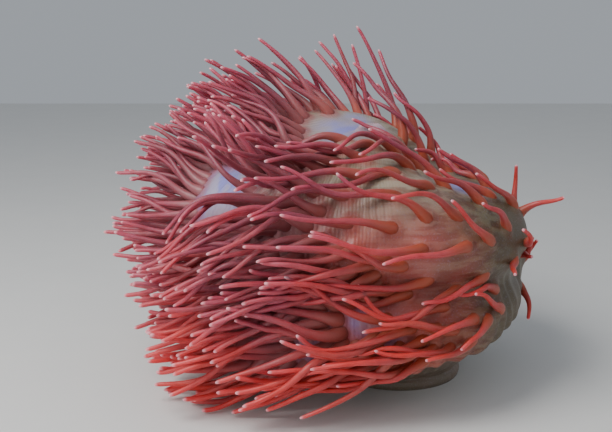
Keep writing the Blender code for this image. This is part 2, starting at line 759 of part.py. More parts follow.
def build_mouth(parts, cutters, material):
    """Oval lips round a slit, on the flat crown of the disc."""
    base = (DISC_CENTRE[0], DISC_CENTRE[1], DISC_CENTRE[2] + DISC_HALF[2] + GAP)
    shape = bmesh.new()
    bmesh.ops.create_uvsphere(shape, u_segments=20, v_segments=10, radius=1.0)
    bmesh.ops.scale(shape, vec=MOUTH_HALF, verts=shape.verts)
    cut = bmesh.ops.bisect_plane(
        shape,
        geom=shape.verts[:] + shape.edges[:] + shape.faces[:],
        plane_co=(0, 0, 0),
        plane_no=(0, 0, -1),
        dist=1e-6,
        clear_outer=True,
    )
    rim = [item for item in cut["geom_cut"] if isinstance(item, bmesh.types.BMEdge)]
    bmesh.ops.contextual_create(shape, geom=rim)
    bmesh.ops.translate(shape, vec=base, verts=shape.verts)
    bmesh.ops.recalc_face_normals(shape, faces=shape.faces)
    mouth = object_from(shape, "mouth", parts)
    mouth.data.materials.append(material)
    slit = bmesh.new()
    bmesh.ops.create_uvsphere(slit, u_segments=12, v_segments=6, radius=1.0)
    bmesh.ops.scale(slit, vec=SLIT_HALF, verts=slit.verts)
    top = (base[0], base[1], base[2] + MOUTH_HALF[2])
    bmesh.ops.translate(slit, vec=top, verts=slit.verts)
    boolean(mouth, "DIFFERENCE", as_guide(object_from(slit, "slit", cutters)))


def build_column(parts, column_skin, foot_skin):
    """The column and, under it, the pedal disc that the animal stands on."""
    low = FOOT_HEIGHT + GAP
    side = [(radius, low + share * (COLUMN_TOP - low)) for share, radius in COLUMN_RADII]
    column = turned("column", [(0.0, COLUMN_TOP), *side, (0.0, low)], COLUMN_SIDES, parts)
    column.data.materials.append(column_skin)
    edge = [(FOOT_RADIUS * width, FOOT_HEIGHT * share) for share, width in FOOT_EDGE]
    foot = turned("pedal_disc", [(0.0, FOOT_HEIGHT), *edge, (0.0, 0.0)], COLUMN_SIDES, parts)
    foot.data.materials.append(foot_skin)


def main():
    """Build the animal."""
    clear_scene()
    parts = new_collection("magnificent_sea_anemone")
    cutters = new_collection("cutters")
    cap = build_cap(cutters)
    build_lobes(cap, parts, cutters, flesh("lobe_and_tentacle_flesh"))
    build_centre(cap, parts, cutters, flesh("disc_flesh"))
    build_mouth(parts, cutters, flesh("lip_flesh"))
    build_column(parts, flesh("column_skin"), flesh("foot_skin"))


main()
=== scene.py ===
"""Looks of a life-size magnificent sea anemone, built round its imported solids.

One skin stands for all the flesh: the oral disc with its mouth, the rolled edge, the underside,
the column and the foot. Eight coats of tentacles grow from it, one over each lobe of the disc.
Metres, +Z up, -Y to the front. The current comes from +X and sweeps the tentacles to -X.
"""

import logging
import math
from dataclasses import dataclass, field
from enum import Enum
from typing import Any

import bmesh
import bpy
import numpy as np
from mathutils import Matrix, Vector, kdtree


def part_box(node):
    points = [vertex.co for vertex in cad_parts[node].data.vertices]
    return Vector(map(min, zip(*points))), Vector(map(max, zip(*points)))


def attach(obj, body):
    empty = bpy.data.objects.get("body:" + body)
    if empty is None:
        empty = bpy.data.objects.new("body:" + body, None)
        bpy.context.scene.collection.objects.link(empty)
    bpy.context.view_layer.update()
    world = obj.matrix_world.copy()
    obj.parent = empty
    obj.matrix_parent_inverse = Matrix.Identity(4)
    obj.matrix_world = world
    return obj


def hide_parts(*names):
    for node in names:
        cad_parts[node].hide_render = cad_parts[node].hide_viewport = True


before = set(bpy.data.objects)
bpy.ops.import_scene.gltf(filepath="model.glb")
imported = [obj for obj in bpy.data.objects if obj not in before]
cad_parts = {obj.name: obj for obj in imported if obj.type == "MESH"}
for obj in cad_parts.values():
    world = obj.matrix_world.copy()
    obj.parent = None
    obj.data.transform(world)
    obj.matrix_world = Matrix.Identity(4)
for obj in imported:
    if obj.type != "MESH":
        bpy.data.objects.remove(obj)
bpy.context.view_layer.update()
BAKE_MAP = "OFBake"
GAP = 0.0003
TURN = 2 * math.pi
GOLDEN_ANGLE = math.pi * (3 - math.sqrt(5))

Array = np.ndarray
Socket = bpy.types.NodeSocket
Pair = tuple[float, float]
Triple = tuple[float, float, float]
Span = tuple[float, ...]
log = logging.getLogger("anemone")


class Lobe(Enum):
    """Lobes of the disc in order round it, each with its coat of tentacles."""

    RIGHT = "right"
    BACK_RIGHT = "back_right"
    BACK = "back"
    BACK_LEFT = "back_left"
    LEFT = "left"
    FRONT_LEFT = "front_left"
    FRONT = "front"
    FRONT_RIGHT = "front_right"


class Slot(Enum):
    """Material slots of the record."""

    TENTACLES = "tentacle_flesh"
    SKIN = "disc_skin"


# ---------------------------------------------------------------- small helpers


def unit(rows: Array) -> Array:
    """Each row at length 1."""
    return rows / np.maximum(np.linalg.norm(rows, axis=-1, keepdims=True), 1e-12)


def dots(first: Array, second: Array) -> Array:
    """The dot product of each pair of rows, as a column."""
    return np.sum(first * second, axis=-1, keepdims=True)


def smooth_step(value: Array, low: float, high: float) -> Array:
    """0 at low, 1 at high and smooth between, whichever of the two is the larger."""
    share = np.clip((value - low) / (high - low), 0.0, 1.0)
    return share * share * (3 - 2 * share)


def band(value: Array, rise: Pair, fall: Pair) -> Array:
    """1 between two limits, smoothly up from 0 and down to it again."""
    return smooth_step(value, *rise) * (1 - smooth_step(value, *fall))


def bell(distance: Array, width: float) -> Array:
    """1 at no distance, falling to about a third at width and then away."""
    return np.exp(-((distance / width) ** 2))


def direction(azimuth: Array, polar: Array) -> Array:
    """Unit rows at these angles, in radians, from +X and from +Z."""
    return round_axis(np.sin(polar), azimuth, np.cos(polar))


def aim(azimuth: Any, elevation: Any) -> Array:
    """Unit rows at an azimuth and an elevation, in degrees."""
    return direction(np.radians(azimuth), np.radians(90 - np.asarray(elevation)))


def round_axis(radius: Array, azimuth: Array, height: Array) -> Array:
    """Places round the Z axis, as rows of x, y and z."""
    return np.stack((radius * np.cos(azimuth), radius * np.sin(azimuth), height), axis=-1)


def middle_of(node: str) -> tuple[Array, Array, Array]:
    """Middle, lowest and highest corner of a solid, to a tenth of a millimetre."""
    low, high = (np.array(corner, dtype=float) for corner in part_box(node))
    return np.round((low + high) / 2, 4), np.round(low, 4), np.round(high, 4)


def search_tree(points: Array) -> kdtree.KDTree:
    """A tree that finds the nearest of many points.

    Args:
        points: rows of x, y and z.

    Returns:
        The tree, which knows each point by its row's number.
    """
    tree = kdtree.KDTree(len(points))
    for index, point in enumerate(points):
        tree.insert(point, index)
    tree.balance()
    return tree


def to_mesh(shape: bmesh.types.BMesh, name: str) -> bpy.types.Mesh:
    """The finished shape as a mesh.

    Args:
        shape: the shape, which is freed.
        name: the mesh's name.

    Returns:
        The mesh.
    """
    mesh = bpy.data.meshes.new(name)
    shape.to_mesh(mesh)
    shape.free()
    return mesh


def points_of(mesh: bpy.types.Mesh) -> Array:
    """Places of a mesh's points.

    Args:
        mesh: the mesh.

    Returns:
        One row for each point.
    """
    flat = np.empty(len(mesh.vertices) * 3)
    mesh.vertices.foreach_get("co", flat)
    return flat.reshape(-1, 3)


def give_marks(mesh: bpy.types.Mesh, marks: dict[str, Array]) -> None:
    """Have each point of a mesh carry numbers that its material reads.

    Args:
        mesh: the mesh.
        marks: one number for each point, under each mark's name.
    """
    for name, values in marks.items():
        layer = mesh.attributes.new(name, "FLOAT", "POINT")
        layer.data.foreach_set("value", values.astype(np.float32))


def dress(mesh: bpy.types.Mesh, places: Array, material: bpy.types.Material) -> bpy.types.Object:
    """Move a mesh's points into place and stand it in the scene.

    Args:
        mesh: the mesh.
        places: where its points go.
        material: its finish.

    Returns:
        The piece, at the origin.
    """
    mesh.vertices.foreach_set("co", places.astype(np.float32).ravel())
    mesh.shade_smooth()
    mesh.materials.append(material)
    return put(mesh.name, mesh)


def put(name: str, data: Any) -> bpy.types.Object:
    """Stand something in the scene.

    Args:
        name: the object's name.
        data: its mesh, light or camera.

    Returns:
        The object, at the origin.
    """
    thing = bpy.data.objects.new(name, data)
    bpy.context.scene.collection.objects.link(thing)
    return thing


# ---------------------------------------------------------------- the disc's form


@dataclass(frozen=True)
class Fold:
    """A ridge or furrow along a great circle of the disc.

    Directions are (azimuth, elevation) in degrees from the disc's centre. Width is in radians,
    and height in metres, less than nothing for a furrow.
    """

    name: str
    start: Pair
    end: Pair
    width: float
    height: float

    def distance(self, rows: Array) -> Array:
        """Angle between each unit row and the fold's line.

        Args:
            rows: unit rows from the disc's centre.

        Returns:
            One angle for each row, in radians.
        """
        first, last = aim(*self.start), aim(*self.end)
        pole = unit(np.cross(first, last))
        across = np.cross(pole, first)
        span = math.atan2(float(last @ across), float(last @ first))
        along = np.arctan2(rows @ across, rows @ first)
        along = np.where(along < span / 2 - math.pi, along + TURN, along)
        along = np.clip(along, 0.0, span)[..., None]
        nearest = np.cos(along) * first + np.sin(along) * across
        return np.arccos(np.clip(np.sum(rows * nearest, axis=-1), -1.0, 1.0))


@dataclass(frozen=True)
class Parting:
    """A place where the disc is bare and the tentacles part."""

    name: str
    azimuth: float
    elevation: float
    radius: float
    push: float


@dataclass(frozen=True)
class BloomAndHighlight:
    """A place where the bare skin turns milky and violet: partly its own colour, partly a painted highlight.
    """

    azimuth: float
    elevation: float
    radius: float
    share: float


@dataclass(frozen=True)
class Stray:
    """A tentacle that the current doesn't hold: where it grows, where it points and how long it is."""

    azimuth: float
    elevation: float
    heading: Triple
    length: float


FOLDS = (
    Fold("back crest", (158, 40), (50, 54), 0.24, 0.019),
    Fold("crown furrow", (190, 58), (-15, 56), 0.16, -0.007),
    Fold("upper front bulge", (-75, 30), (-22, 22), 0.30, 0.007),
    Fold("waist furrow", (-112, 0), (-12, -4), 0.13, -0.013),
    Fold("lower front roll", (-150, -26), (-55, -25), 0.24, 0.006),
    Fold("left hollow", (-150, 52), (-158, 6), 0.15, -0.013),
    Fold("left shoulder", (-174, 14), (150, 22), 0.32, 0.021),
    Fold("back furrow", (118, 40), (105, -20), 0.15, -0.011),
    Fold("back roll", (60, -14), (20, -6), 0.26, 0.007),
    Fold("right slope", (-35, 42), (50, 42), 0.45, -0.032),
)

PARTINGS = (
    Parting("mouth", 170, 76, 0.034, 0.9),
    Parting("crest slope", 98, 70, 0.029, 1.2),
    Parting("right slope", -28, 42, 0.024, 0.3),
    Parting("left hollow", -162, 24, 0.031, 1.8),
    Parting("waist", -96, -12, 0.015, 0.6),
    Parting("lower front", -116, -23, 0.014, 0.8),
    Parting("right margin", -20, -14, 0.034, 0.2),
)

# Bare places that turn milky violet: partly the skin's own colour, partly a painted highlight.
BLOOMS_AND_HIGHLIGHTS = (
    BloomAndHighlight(152, 78, 0.022, 1.0),
    BloomAndHighlight(110, 72, 0.012, 0.6),
    BloomAndHighlight(-168, 25, 0.032, 1.0),
    BloomAndHighlight(-29, 36, 0.014, 0.9),
    BloomAndHighlight(-106, -6, 0.011, 0.9),
    BloomAndHighlight(-108, -11, 0.013, 0.7),
    BloomAndHighlight(-97, -12, 0.014, 0.6),
    BloomAndHighlight(-87, -16, 0.012, 0.5),
    BloomAndHighlight(-116, -23, 0.018, 0.7),
)

STRAYS = (
    Stray(-29, 55, (-1.0, 0.05, 0.55), 0.062),
    Stray(-14, 66, (-1.0, -0.20, 0.34), 0.058),
    Stray(4, 8, (1.0, -0.10, 0.28), 0.042),
    Stray(12, 5, (0.02, 0.0, 1.0), 0.042),
    Stray(-38, 9, (-0.05, -1.0, 0.10), 0.030),
    Stray(-12, 3, (0.15, -0.95, 0.12), 0.026),
    Stray(-4, 0, (0.25, -0.40, 0.80), 0.022),
    Stray(8, 0, (0.55, -0.20, 0.90), 0.026),
)


@dataclass
class DiscForm:
    """The rounded cap of the oral disc as a surface about its centre."""

    centre: Array
    half: Array = field(default_factory=lambda: np.array((0.134, 0.128, 0.102)))
    squareness: float = 2.4
    crown_fade: Pair = (0.10, 0.42)
    folds: tuple[Fold, ...] = FOLDS
    partings: tuple[Parting, ...] = PARTINGS
    blooms_and_highlights: tuple[BloomAndHighlight, ...] = BLOOMS_AND_HIGHLIGHTS
    margin_mean: float = 121.0
    margin_right: float = -13.0
    margin_front: float = 3.0
    margin_waves: tuple[Triple, ...] = ((5, 3.0, 40.0), (8, 1.8, 10.0))
    slope_step: float = 0.0015

    @classmethod
    def over_frame(cls) -> "DiscForm":
        """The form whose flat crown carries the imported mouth.

        Returns:
            The form in its place.
        """
        mouth, low, _ = middle_of("mouth")
        crown = round(float(low[2]) - GAP, 4)
        form = cls(centre=np.zeros(3))
        form.centre = np.array((mouth[0], mouth[1], round(crown - form.half[2], 4)))
        return form

    @property
    def crown(self) -> Array:
        """The top of the disc over its centre."""
        return self.centre + np.array((0.0, 0.0, self.half[2]))

    def radius(self, rows: Array) -> Array:
        """Distance from the centre to the surface.

        Args:
            rows: unit rows from the centre.

        Returns:
            The distance along each row.
        """
        power = self.squareness
        radius = np.sum(np.abs(rows / self.half) ** power, axis=-1) ** (-1 / power)
        away_from_crown = smooth_step(np.arccos(np.clip(rows[..., 2], -1, 1)), *self.crown_fade)
        for fold in self.folds:
            radius = radius + fold.height * away_from_crown * bell(fold.distance(rows), fold.width)
        return radius

    def surface(self, rows: Array) -> Array:
        """The surface's place along each unit row."""
        return self.centre + rows * self.radius(rows)[..., None]

    def height_over(self, points: Array) -> Array:
        """How far each point is outside the surface, along its own ray."""
        ray = points - self.centre
        return np.linalg.norm(ray, axis=-1) - self.radius(unit(ray))

    def normal(self, points: Array) -> Array:
        """The outward normal near each point.

        Args:
            points: rows of x, y and z.

        Returns:
            A unit row for each point.
        """
        steps = self.slope_step * np.eye(3)
        slope = [self.height_over(points + step) - self.height_over(points - step) for step in steps]
        return unit(np.stack(slope, axis=-1))

    def margin_polar(self, azimuth: Array) -> Array:
        """Polar angle of the disc's edge.

        Args:
            azimuth: azimuths about the disc's upright axis, in radians.

        Returns:
            The angle from +Z at each azimuth, in radians.
        """
        degrees = self.margin_mean + self.margin_right * np.cos(azimuth) - self.margin_front * np.sin(azimuth)
        for count, swing, phase in self.margin_waves:
            degrees = degrees + swing * np.cos(count * azimuth + math.radians(phase))
        return np.radians(degrees)

    def azimuth(self, points: Array) -> Array:
        """Azimuth of each point about the disc's upright axis."""
        return np.arctan2(points[..., 1] - self.centre[1], points[..., 0] - self.centre[0])

    def middles(self, places: tuple[Any, ...]) -> list[tuple[Array, Any]]:
        """Middle of each parting or bloom on the surface, with the parting or bloom itself."""
        rows = aim([place.azimuth for place in places], [place.elevation for place in places])
        return list(zip(self.surface(rows), places))


# ---------------------------------------------------------------- how the tentacles grow


@dataclass(frozen=True)
class Region:
    """A part of the animal where the tentacles grow in their own way: a product of smooth steps.

    Each step has its axis (0, 1 or 2 for X, Y or Z), where it starts and where it is complete.
    """

    steps: tuple[tuple[int, float, float], ...]

    def share(self, points: Array) -> Array:
        """How far each point is inside the region.

        Args:
            points: rows of x, y and z.

        Returns:
            A share from 0 to 1 for each point.
        """
        share = np.ones(len(points))
        for axis, start, full in self.steps:
            share = share * smooth_step(points[:, axis], start, full)
        return share

    def within(self, *steps: tuple[int, float, float]) -> "Region":
        """The part of the region that also meets these steps."""
        return Region(self.steps + steps)


ABOVE_MARGIN = Region(((2, 0.060, 0.115),))
HIGH_FRONT = Region(((0, -0.085, -0.035), (2, 0.135, 0.155), (1, 0.055, 0.025)))
CALM = Region(((2, 0.150, 0.195), (1, -0.020, 0.030)))
SHELTERED = CALM.within((0, -0.075, -0.035), (0, 0.060, 0.030))
UPRIGHT = CALM.within((0, -0.055, -0.015), (0, 0.060, 0.030))
CALM_RIGHT = Region(((2, 0.140, 0.175), (1, -0.030, 0.010), (0, 0.010, 0.040)))
LEE = Region(((0, -0.100, -0.150),))
UPPER_LEFT = Region(((0, -0.035, -0.080), (2, 0.165, 0.195)))
RIGHT = Region(((0, 0.030, 0.085),))
RIGHT_END = Region(((0, 0.070, 0.095),))
LOWER_RIGHT = Region(((0, 0.0, 0.050), (2, 0.100, 0.070)))
LOW = Region(((2, 0.080, 0.030),))
LOW_LEFT = Region(((0, 0.0, -0.060), (2, 0.150, 0.100)))
PRESSED_FRONT = Region(((1, 0.012, -0.022), (0, -0.090, -0.040)))
PRESSED_RIGHT = Region(((0, 0.0, 0.045),))
CROWN_LEVEL = Region(((2, 0.150, 0.190),))


@dataclass(frozen=True)
class Current:
    """The water that sweeps the tentacles.

    It flows to -X, bends them round the disc while they are near it, lifts them off it, and fans
    them up above the middle height and down below it.
    """

    flow: Triple = (-1.0, 0.0, 0.0)
    eddy_size: float = 0.030
    eddy_share: float = 0.12
    eddy_sideways: Pair = (0.9, 0.5)
    eddy_upward: Pair = (0.8, -0.6)
    near_height: float = 0.008
    near_fade: float = 0.045
    lift: float = 0.34
    lift_spread: Pair = (0.55, 1.55)
    calm_lift: float = 0.10
    low_press: float = 0.6
    crown_press: float = 0.6
    front_press: float = 0.75
    right_press: float = 0.80
    fan_middle: float = 0.118
    fan_height: float = 0.110
    fan_limits: Pair = (-0.32, 0.45)
    sheltered_rise: float = 1.5
    rise_spread: float = 0.55
    rise_fade: float = 0.9
    upright_fade: float = 0.6
    parting_reach: float = 1.6
    parting_depth: float = 0.060
    parting_opening: Pair = (-100, 18)

    @property
    def opening(self) -> Array:
        """The direction towards which the partings stay open."""
        return aim(*self.parting_opening)

    def eddies(self, points: Array) -> Array:
        """Direction of the water before the disc bends it.

        Args:
            points: rows of x, y and z.

        Returns:
            A unit row for each point.
        """
        x, y, z = points.T / self.eddy_size
        sideways = np.sin(self.eddy_sideways[0] * z + self.eddy_sideways[1] * x)
        upwards = np.sin(self.eddy_upward[0] * x + self.eddy_upward[1] * y)
        eddy = np.stack((np.zeros_like(x), sideways, upwards), axis=-1)
        return unit(np.array(self.flow) + self.eddy_share * eddy)

    def nearness(self, height: Array) -> Array:
        """1 at the disc and less further off."""
        return np.exp(-np.maximum(height - self.near_height, 0.0) / self.near_fade)[:, None]

    def lift_and_rise(self, roots: Array, raised: Array, tilt: Array) -> tuple[Array, Array]:
        """How strongly each tentacle leans off the disc, and how strongly it is drawn upwards.

        Args:
            roots: where the tentacles grow.
            raised: each one's share of the spread of the lift.
            tilt: each one's share of the spread of the rise.

        Returns:
            The lift and the rise, each one number a tentacle.
        """
        pressed = self.front_press * PRESSED_FRONT.share(roots)
        pressed = np.maximum(pressed, self.right_press * PRESSED_RIGHT.share(roots))
        fan = (roots[:, 2] - self.fan_middle) / self.fan_height
        fan = np.clip(fan, *self.fan_limits) * (1 - pressed)
        rise = fan + self.sheltered_rise * SHELTERED.share(roots) + self.rise_spread * (tilt - 0.5)
        weakest, strongest = self.lift_spread
        lift = self.lift * (weakest + (strongest - weakest) * raised)
        lift = lift * (1 - self.low_press * LOW.share(roots))
        lift = lift * (1 - self.crown_press * pressed * CROWN_LEVEL.share(roots))
        return lift + self.calm_lift * CALM.share(roots), rise


@dataclass
class TentacleGrowth:
    """Roots and centre lines of all tentacles, swept round the disc by the current."""

    form: DiscForm
    current: Current = field(default_factory=Current)
    strays: tuple[Stray, ...] = STRAYS
    seed: int = 23
    candidates: int = 3000
    spacing: float = 0.0088
    windward_spacing: float = 0.0215
    end_spacing: float = 0.008
    windward_facing: Pair = (-0.10, 0.50)
    high_front_share: float = 0.9
    length: float = 0.090
    length_spread: Pair = (0.84, 1.12)
    length_changes: tuple[tuple[Region, float], ...] = (
        (LEE, -0.20),
        (RIGHT, -0.40),
        (CALM_RIGHT, -0.40),
        (LOWER_RIGHT, -0.35),
        (UPPER_LEFT, -0.14),
        (UPRIGHT, 0.11),
    )
    steps: int = 24
    root_radius: float = 0.0047
    middle_radius: float = 0.0031
    tip_radius: float = 0.0013
    taper: float = 1.2
    root_flare: float = 0.20
    bare_crown_polar: float = 14.0
    margin_share: float = 0.965
    bare_margin: float = 0.04
    bare_margin_facing: Pair = (0.2, 0.8)
    lean: float = 0.4
    windward_lean: float = 1.3
    turn: float = 0.30
    calm_turn: float = -0.14
    windward_turn: float = 0.16
    turn_spread: float = -0.12
    swing: Pair = (0.16, 0.44)
    sways: float = 1.1
    sway_over: float = 0.6
    side_spread: float = 0.8
    floor_clearance: float = 0.0006
    clearance: float = 0.0009
    relax_rounds: int = 6
    relax_smoothings: int = 3
    gives_way: Pair = (0.06, 0.45)
    clears_disc: Pair = (0.10, 0.25)

    def windward_share(self, points: Array) -> Array:
        """How far each point is on the side that meets the current, or high at the front.

        Args:
            points: rows of x, y and z.

        Returns:
            A share from 0 to 1 for each point.
        """
        facing = smooth_step(np.cos(self.form.azimuth(points)), *self.windward_facing)
        high_front = self.high_front_share * HIGH_FRONT.share(points)
        return np.maximum(facing * ABOVE_MARGIN.share(points), high_front)

    def roots(self, draw: np.random.Generator) -> Array:
        """Roots all over the disc, each at its distance from the others and off the bare places.

        Args:
            draw: source of the order in which the candidates are tried.

        Returns:
            One row for each root, on the surface.
        """
        index = np.arange(self.candidates)
        azimuth = index * GOLDEN_ANGLE
        crown = math.cos(math.radians(self.bare_crown_polar))
        bare_share = self.bare_margin * smooth_step(np.cos(azimuth), *self.bare_margin_facing)
        edge = np.cos(self.form.margin_polar(azimuth) * (self.margin_share - bare_share))
        rows = direction(azimuth, np.arccos(crown - (index + 0.5) / self.candidates * (crown - edge)))
        places = self.form.surface(rows)
        bare = np.zeros(self.candidates, dtype=bool)
        for middle, parting in self.form.middles(self.form.partings):
            bare |= np.linalg.norm(places - middle, axis=-1) < parting.radius
        wider = self.windward_spacing - self.spacing
        spacing = self.spacing + wider * self.windward_share(places)
        spacing = spacing + self.end_spacing * RIGHT_END.share(places)
        kept: list[int] = []
        for candidate in draw.permutation(self.candidates):
            distance = np.linalg.norm(places[kept] - places[candidate], axis=-1)
            if not bare[candidate] and np.all(distance > spacing[candidate]):
                kept.append(candidate)
        return places[np.sort(kept)]

    def stream(self, points: Array, normals: Array, near: Array, lift: Array, rise: Array) -> Array:
        """Direction that the water gives each tentacle: along the current, round the disc and off it.

        Args:
            points: where the tentacles are now.
            normals: the disc's outward normal there.
            near: 1 at the disc and less further off.
            lift: how strongly each tentacle leans off the disc.
            rise: how strongly each is drawn upwards.

        Returns:
            A unit row for each point.
        """
        flow = self.current.eddies(points)
        into = np.minimum(0.0, dots(flow, normals))
        along = unit(flow - into * normals * near)
        upward = np.array((0.0, 0.0, 1.0))
        opening = self.current.opening
        push = 0.0
        for middle, parting in self.form.middles(self.form.partings):
            away = points - middle
            away = away - np.clip(dots(away, opening), 0.0, self.current.parting_depth) * opening
            aside = away - dots(away, along) * along - dots(away, normals) * normals
            reach = np.linalg.norm(away, axis=-1, keepdims=True)
            near_parting = bell(reach, self.current.parting_reach * parting.radius)
            push = push + parting.push * unit(aside) * near_parting
        return unit(along + lift * normals * near + rise * upward + push)

    def find_strays(self, roots: Array) -> tuple[Array, Array, Array]:
        """Which tentacles are strays.

        Args:
            roots: where the tentacles grow.

        Returns:
            For each tentacle, 1 for a stray and 0 for another, with a stray's heading and length.
        """
        free = np.zeros(len(roots))
        headings = np.zeros_like(roots)
        lengths = np.zeros(len(roots))
        rays = unit(roots - self.form.centre)
        for stray in self.strays:
            # A tentacle that is already a stray drops out of the search for the next one.
            nearest = int(np.argmax(rays @ aim(stray.azimuth, stray.elevation) - 2 * free))
            free[nearest] = 1.0
            headings[nearest] = unit(np.array(stray.heading))
            lengths[nearest] = stray.length
        return free, headings, lengths

    def lengths(self, roots: Array, stretch: Array, free: Array, stray_lengths: Array) -> Array:
        """Length of each tentacle.

        Args:
            roots: where the tentacles grow, because some regions change their length.
            stretch: each one's share of the spread of the lengths.
            free: 1 for a stray and 0 for another.
            stray_lengths: the strays' own lengths.

        Returns:
            One length a tentacle.
        """
        shortest, longest = self.length_spread
        length = self.length * (shortest + (longest - shortest) * stretch)
        for region, change in self.length_changes:
            length = length * (1 + change * region.share(roots))
        return np.where(free > 0, stray_lengths, length)

    def first_headings(self, roots: Array, free: Array) -> Array:
        """Direction in which each tentacle leaves the disc: off it, and leaning into the current.

        Args:
            roots: where the tentacles grow.
            free: 1 for a stray and 0 for another.

        Returns:
            A unit row a tentacle.
        """
        normal = self.form.normal(roots)
        flow = np.array(self.current.flow)
        along = unit(flow - normal * (normal @ flow)[:, None])
        exposed = (1 - free) * (1 - SHELTERED.share(roots))
        lean = self.lean + self.windward_lean * self.windward_share(roots) * exposed
        return unit(normal + lean[:, None] * along)

    def grow(self) -> Array:
        """Centre lines of all tentacles.

        Returns:
            Their places as an array of tentacle, step and xyz.
        """
        draw = np.random.default_rng(self.seed)
        roots = self.roots(draw)
        stretch, tilt, raised, aside, quick, sway, swing = draw.random((7, len(roots)))
        free, headings, stray_lengths = self.find_strays(roots)
        step = (self.lengths(roots, stretch, free, stray_lengths) / self.steps)[:, None]
        lift, rise = self.current.lift_and_rise(roots, raised, tilt)
        turn = self.turn + self.calm_turn * CALM.share(roots) + self.turn_spread * quick
        turn = turn + self.windward_turn * self.windward_share(roots)
        swing = self.swing[0] + (self.swing[1] - self.swing[0]) * swing
        held = 1 - self.current.upright_fade * UPRIGHT.share(roots)
        heading = self.first_headings(roots, free)
        points = roots.copy()
        line = [points]
        for k in range(self.steps):
            out = self.form.normal(points)
            near = self.current.nearness(self.form.height_over(points))
            share = (k + 1) / self.steps
            fade = 1 - self.current.rise_fade * share * held
            pull = self.stream(points, out, near, lift[:, None], (rise * fade)[:, None])
            pull = pull + (headings - pull) * free[:, None]
            side = unit(np.cross(pull, out))
            over = np.cross(side, pull)
            wave = (swing * np.sin(TURN * (self.sways * share + sway)))[:, None]
            twist = wave * (side + self.sway_over * over) + self.side_spread * (aside[:, None] - 0.5) * side
            heading = unit(heading + turn[:, None] * (pull + twist - heading))
            points = points + heading * step
            points[:, 2] = np.maximum(points[:, 2], self.middle_radius + self.floor_clearance)
            line.append(points)
        return self.part(np.stack(line, axis=1))

    def radius(self, share: Array) -> Array:
        """Radius along a tentacle: a flared root and a slender tip.

        Args:
            share: shares of the way from root to tip.

        Returns:
            The radius at each share.
        """
        share = np.asarray(share, dtype=float)
        flare = (self.root_radius - self.middle_radius) * bell(share, self.root_flare)
        taper = (self.tip_radius - self.middle_radius) * share**self.taper
        return self.middle_radius + taper + flare

    def part(self, line: Array) -> Array:
        """The lines, moved apart where tentacles would run through each other or the disc.

        Args:
            line: centre lines as tentacle, step and xyz.

        Returns:
            The same array, moved.
        """
        count, steps, _ = line.shape
        share = np.linspace(0.0, 1.0, steps)
        radius = np.tile(self.radius(share), count)
        owner = np.repeat(np.arange(count), steps)
        free = smooth_step(share, *self.gives_way)[None, :, None]
        clears = smooth_step(share, *self.clears_disc)[None, :, None]
        reach = 2 * self.middle_radius + self.clearance
        for _ in range(self.relax_rounds):
            points = line.reshape(-1, 3)
            tree = search_tree(points)
            push = np.zeros_like(points)
            for index, point in enumerate(points):
                for place, other, distance in tree.find_range(point, reach):
                    room = radius[index] + radius[other] + self.clearance - distance
                    if owner[other] != owner[index] and room > 0:
                        push[index] += (point - place) * (0.5 * room / max(distance, 1e-5))
            push = push.reshape(line.shape) * free
            # The push is spread along each tentacle, so that none of them kinks.
            for _ in range(self.relax_smoothings):
                push[:, 1:-1] = 0.25 * push[:, :-2] + 0.5 * push[:, 1:-1] + 0.25 * push[:, 2:]
            line = line + push
            out = self.form.normal(line.reshape(-1, 3)).reshape(line.shape)
            sunk = self.middle_radius + self.clearance - self.form.height_over(line)
            line = line + out * np.maximum(sunk, 0.0)[..., None] * clears
            line[..., 2] = np.maximum(line[..., 2], self.middle_radius + self.floor_clearance)
        return line


# ---------------------------------------------------------------- finishes


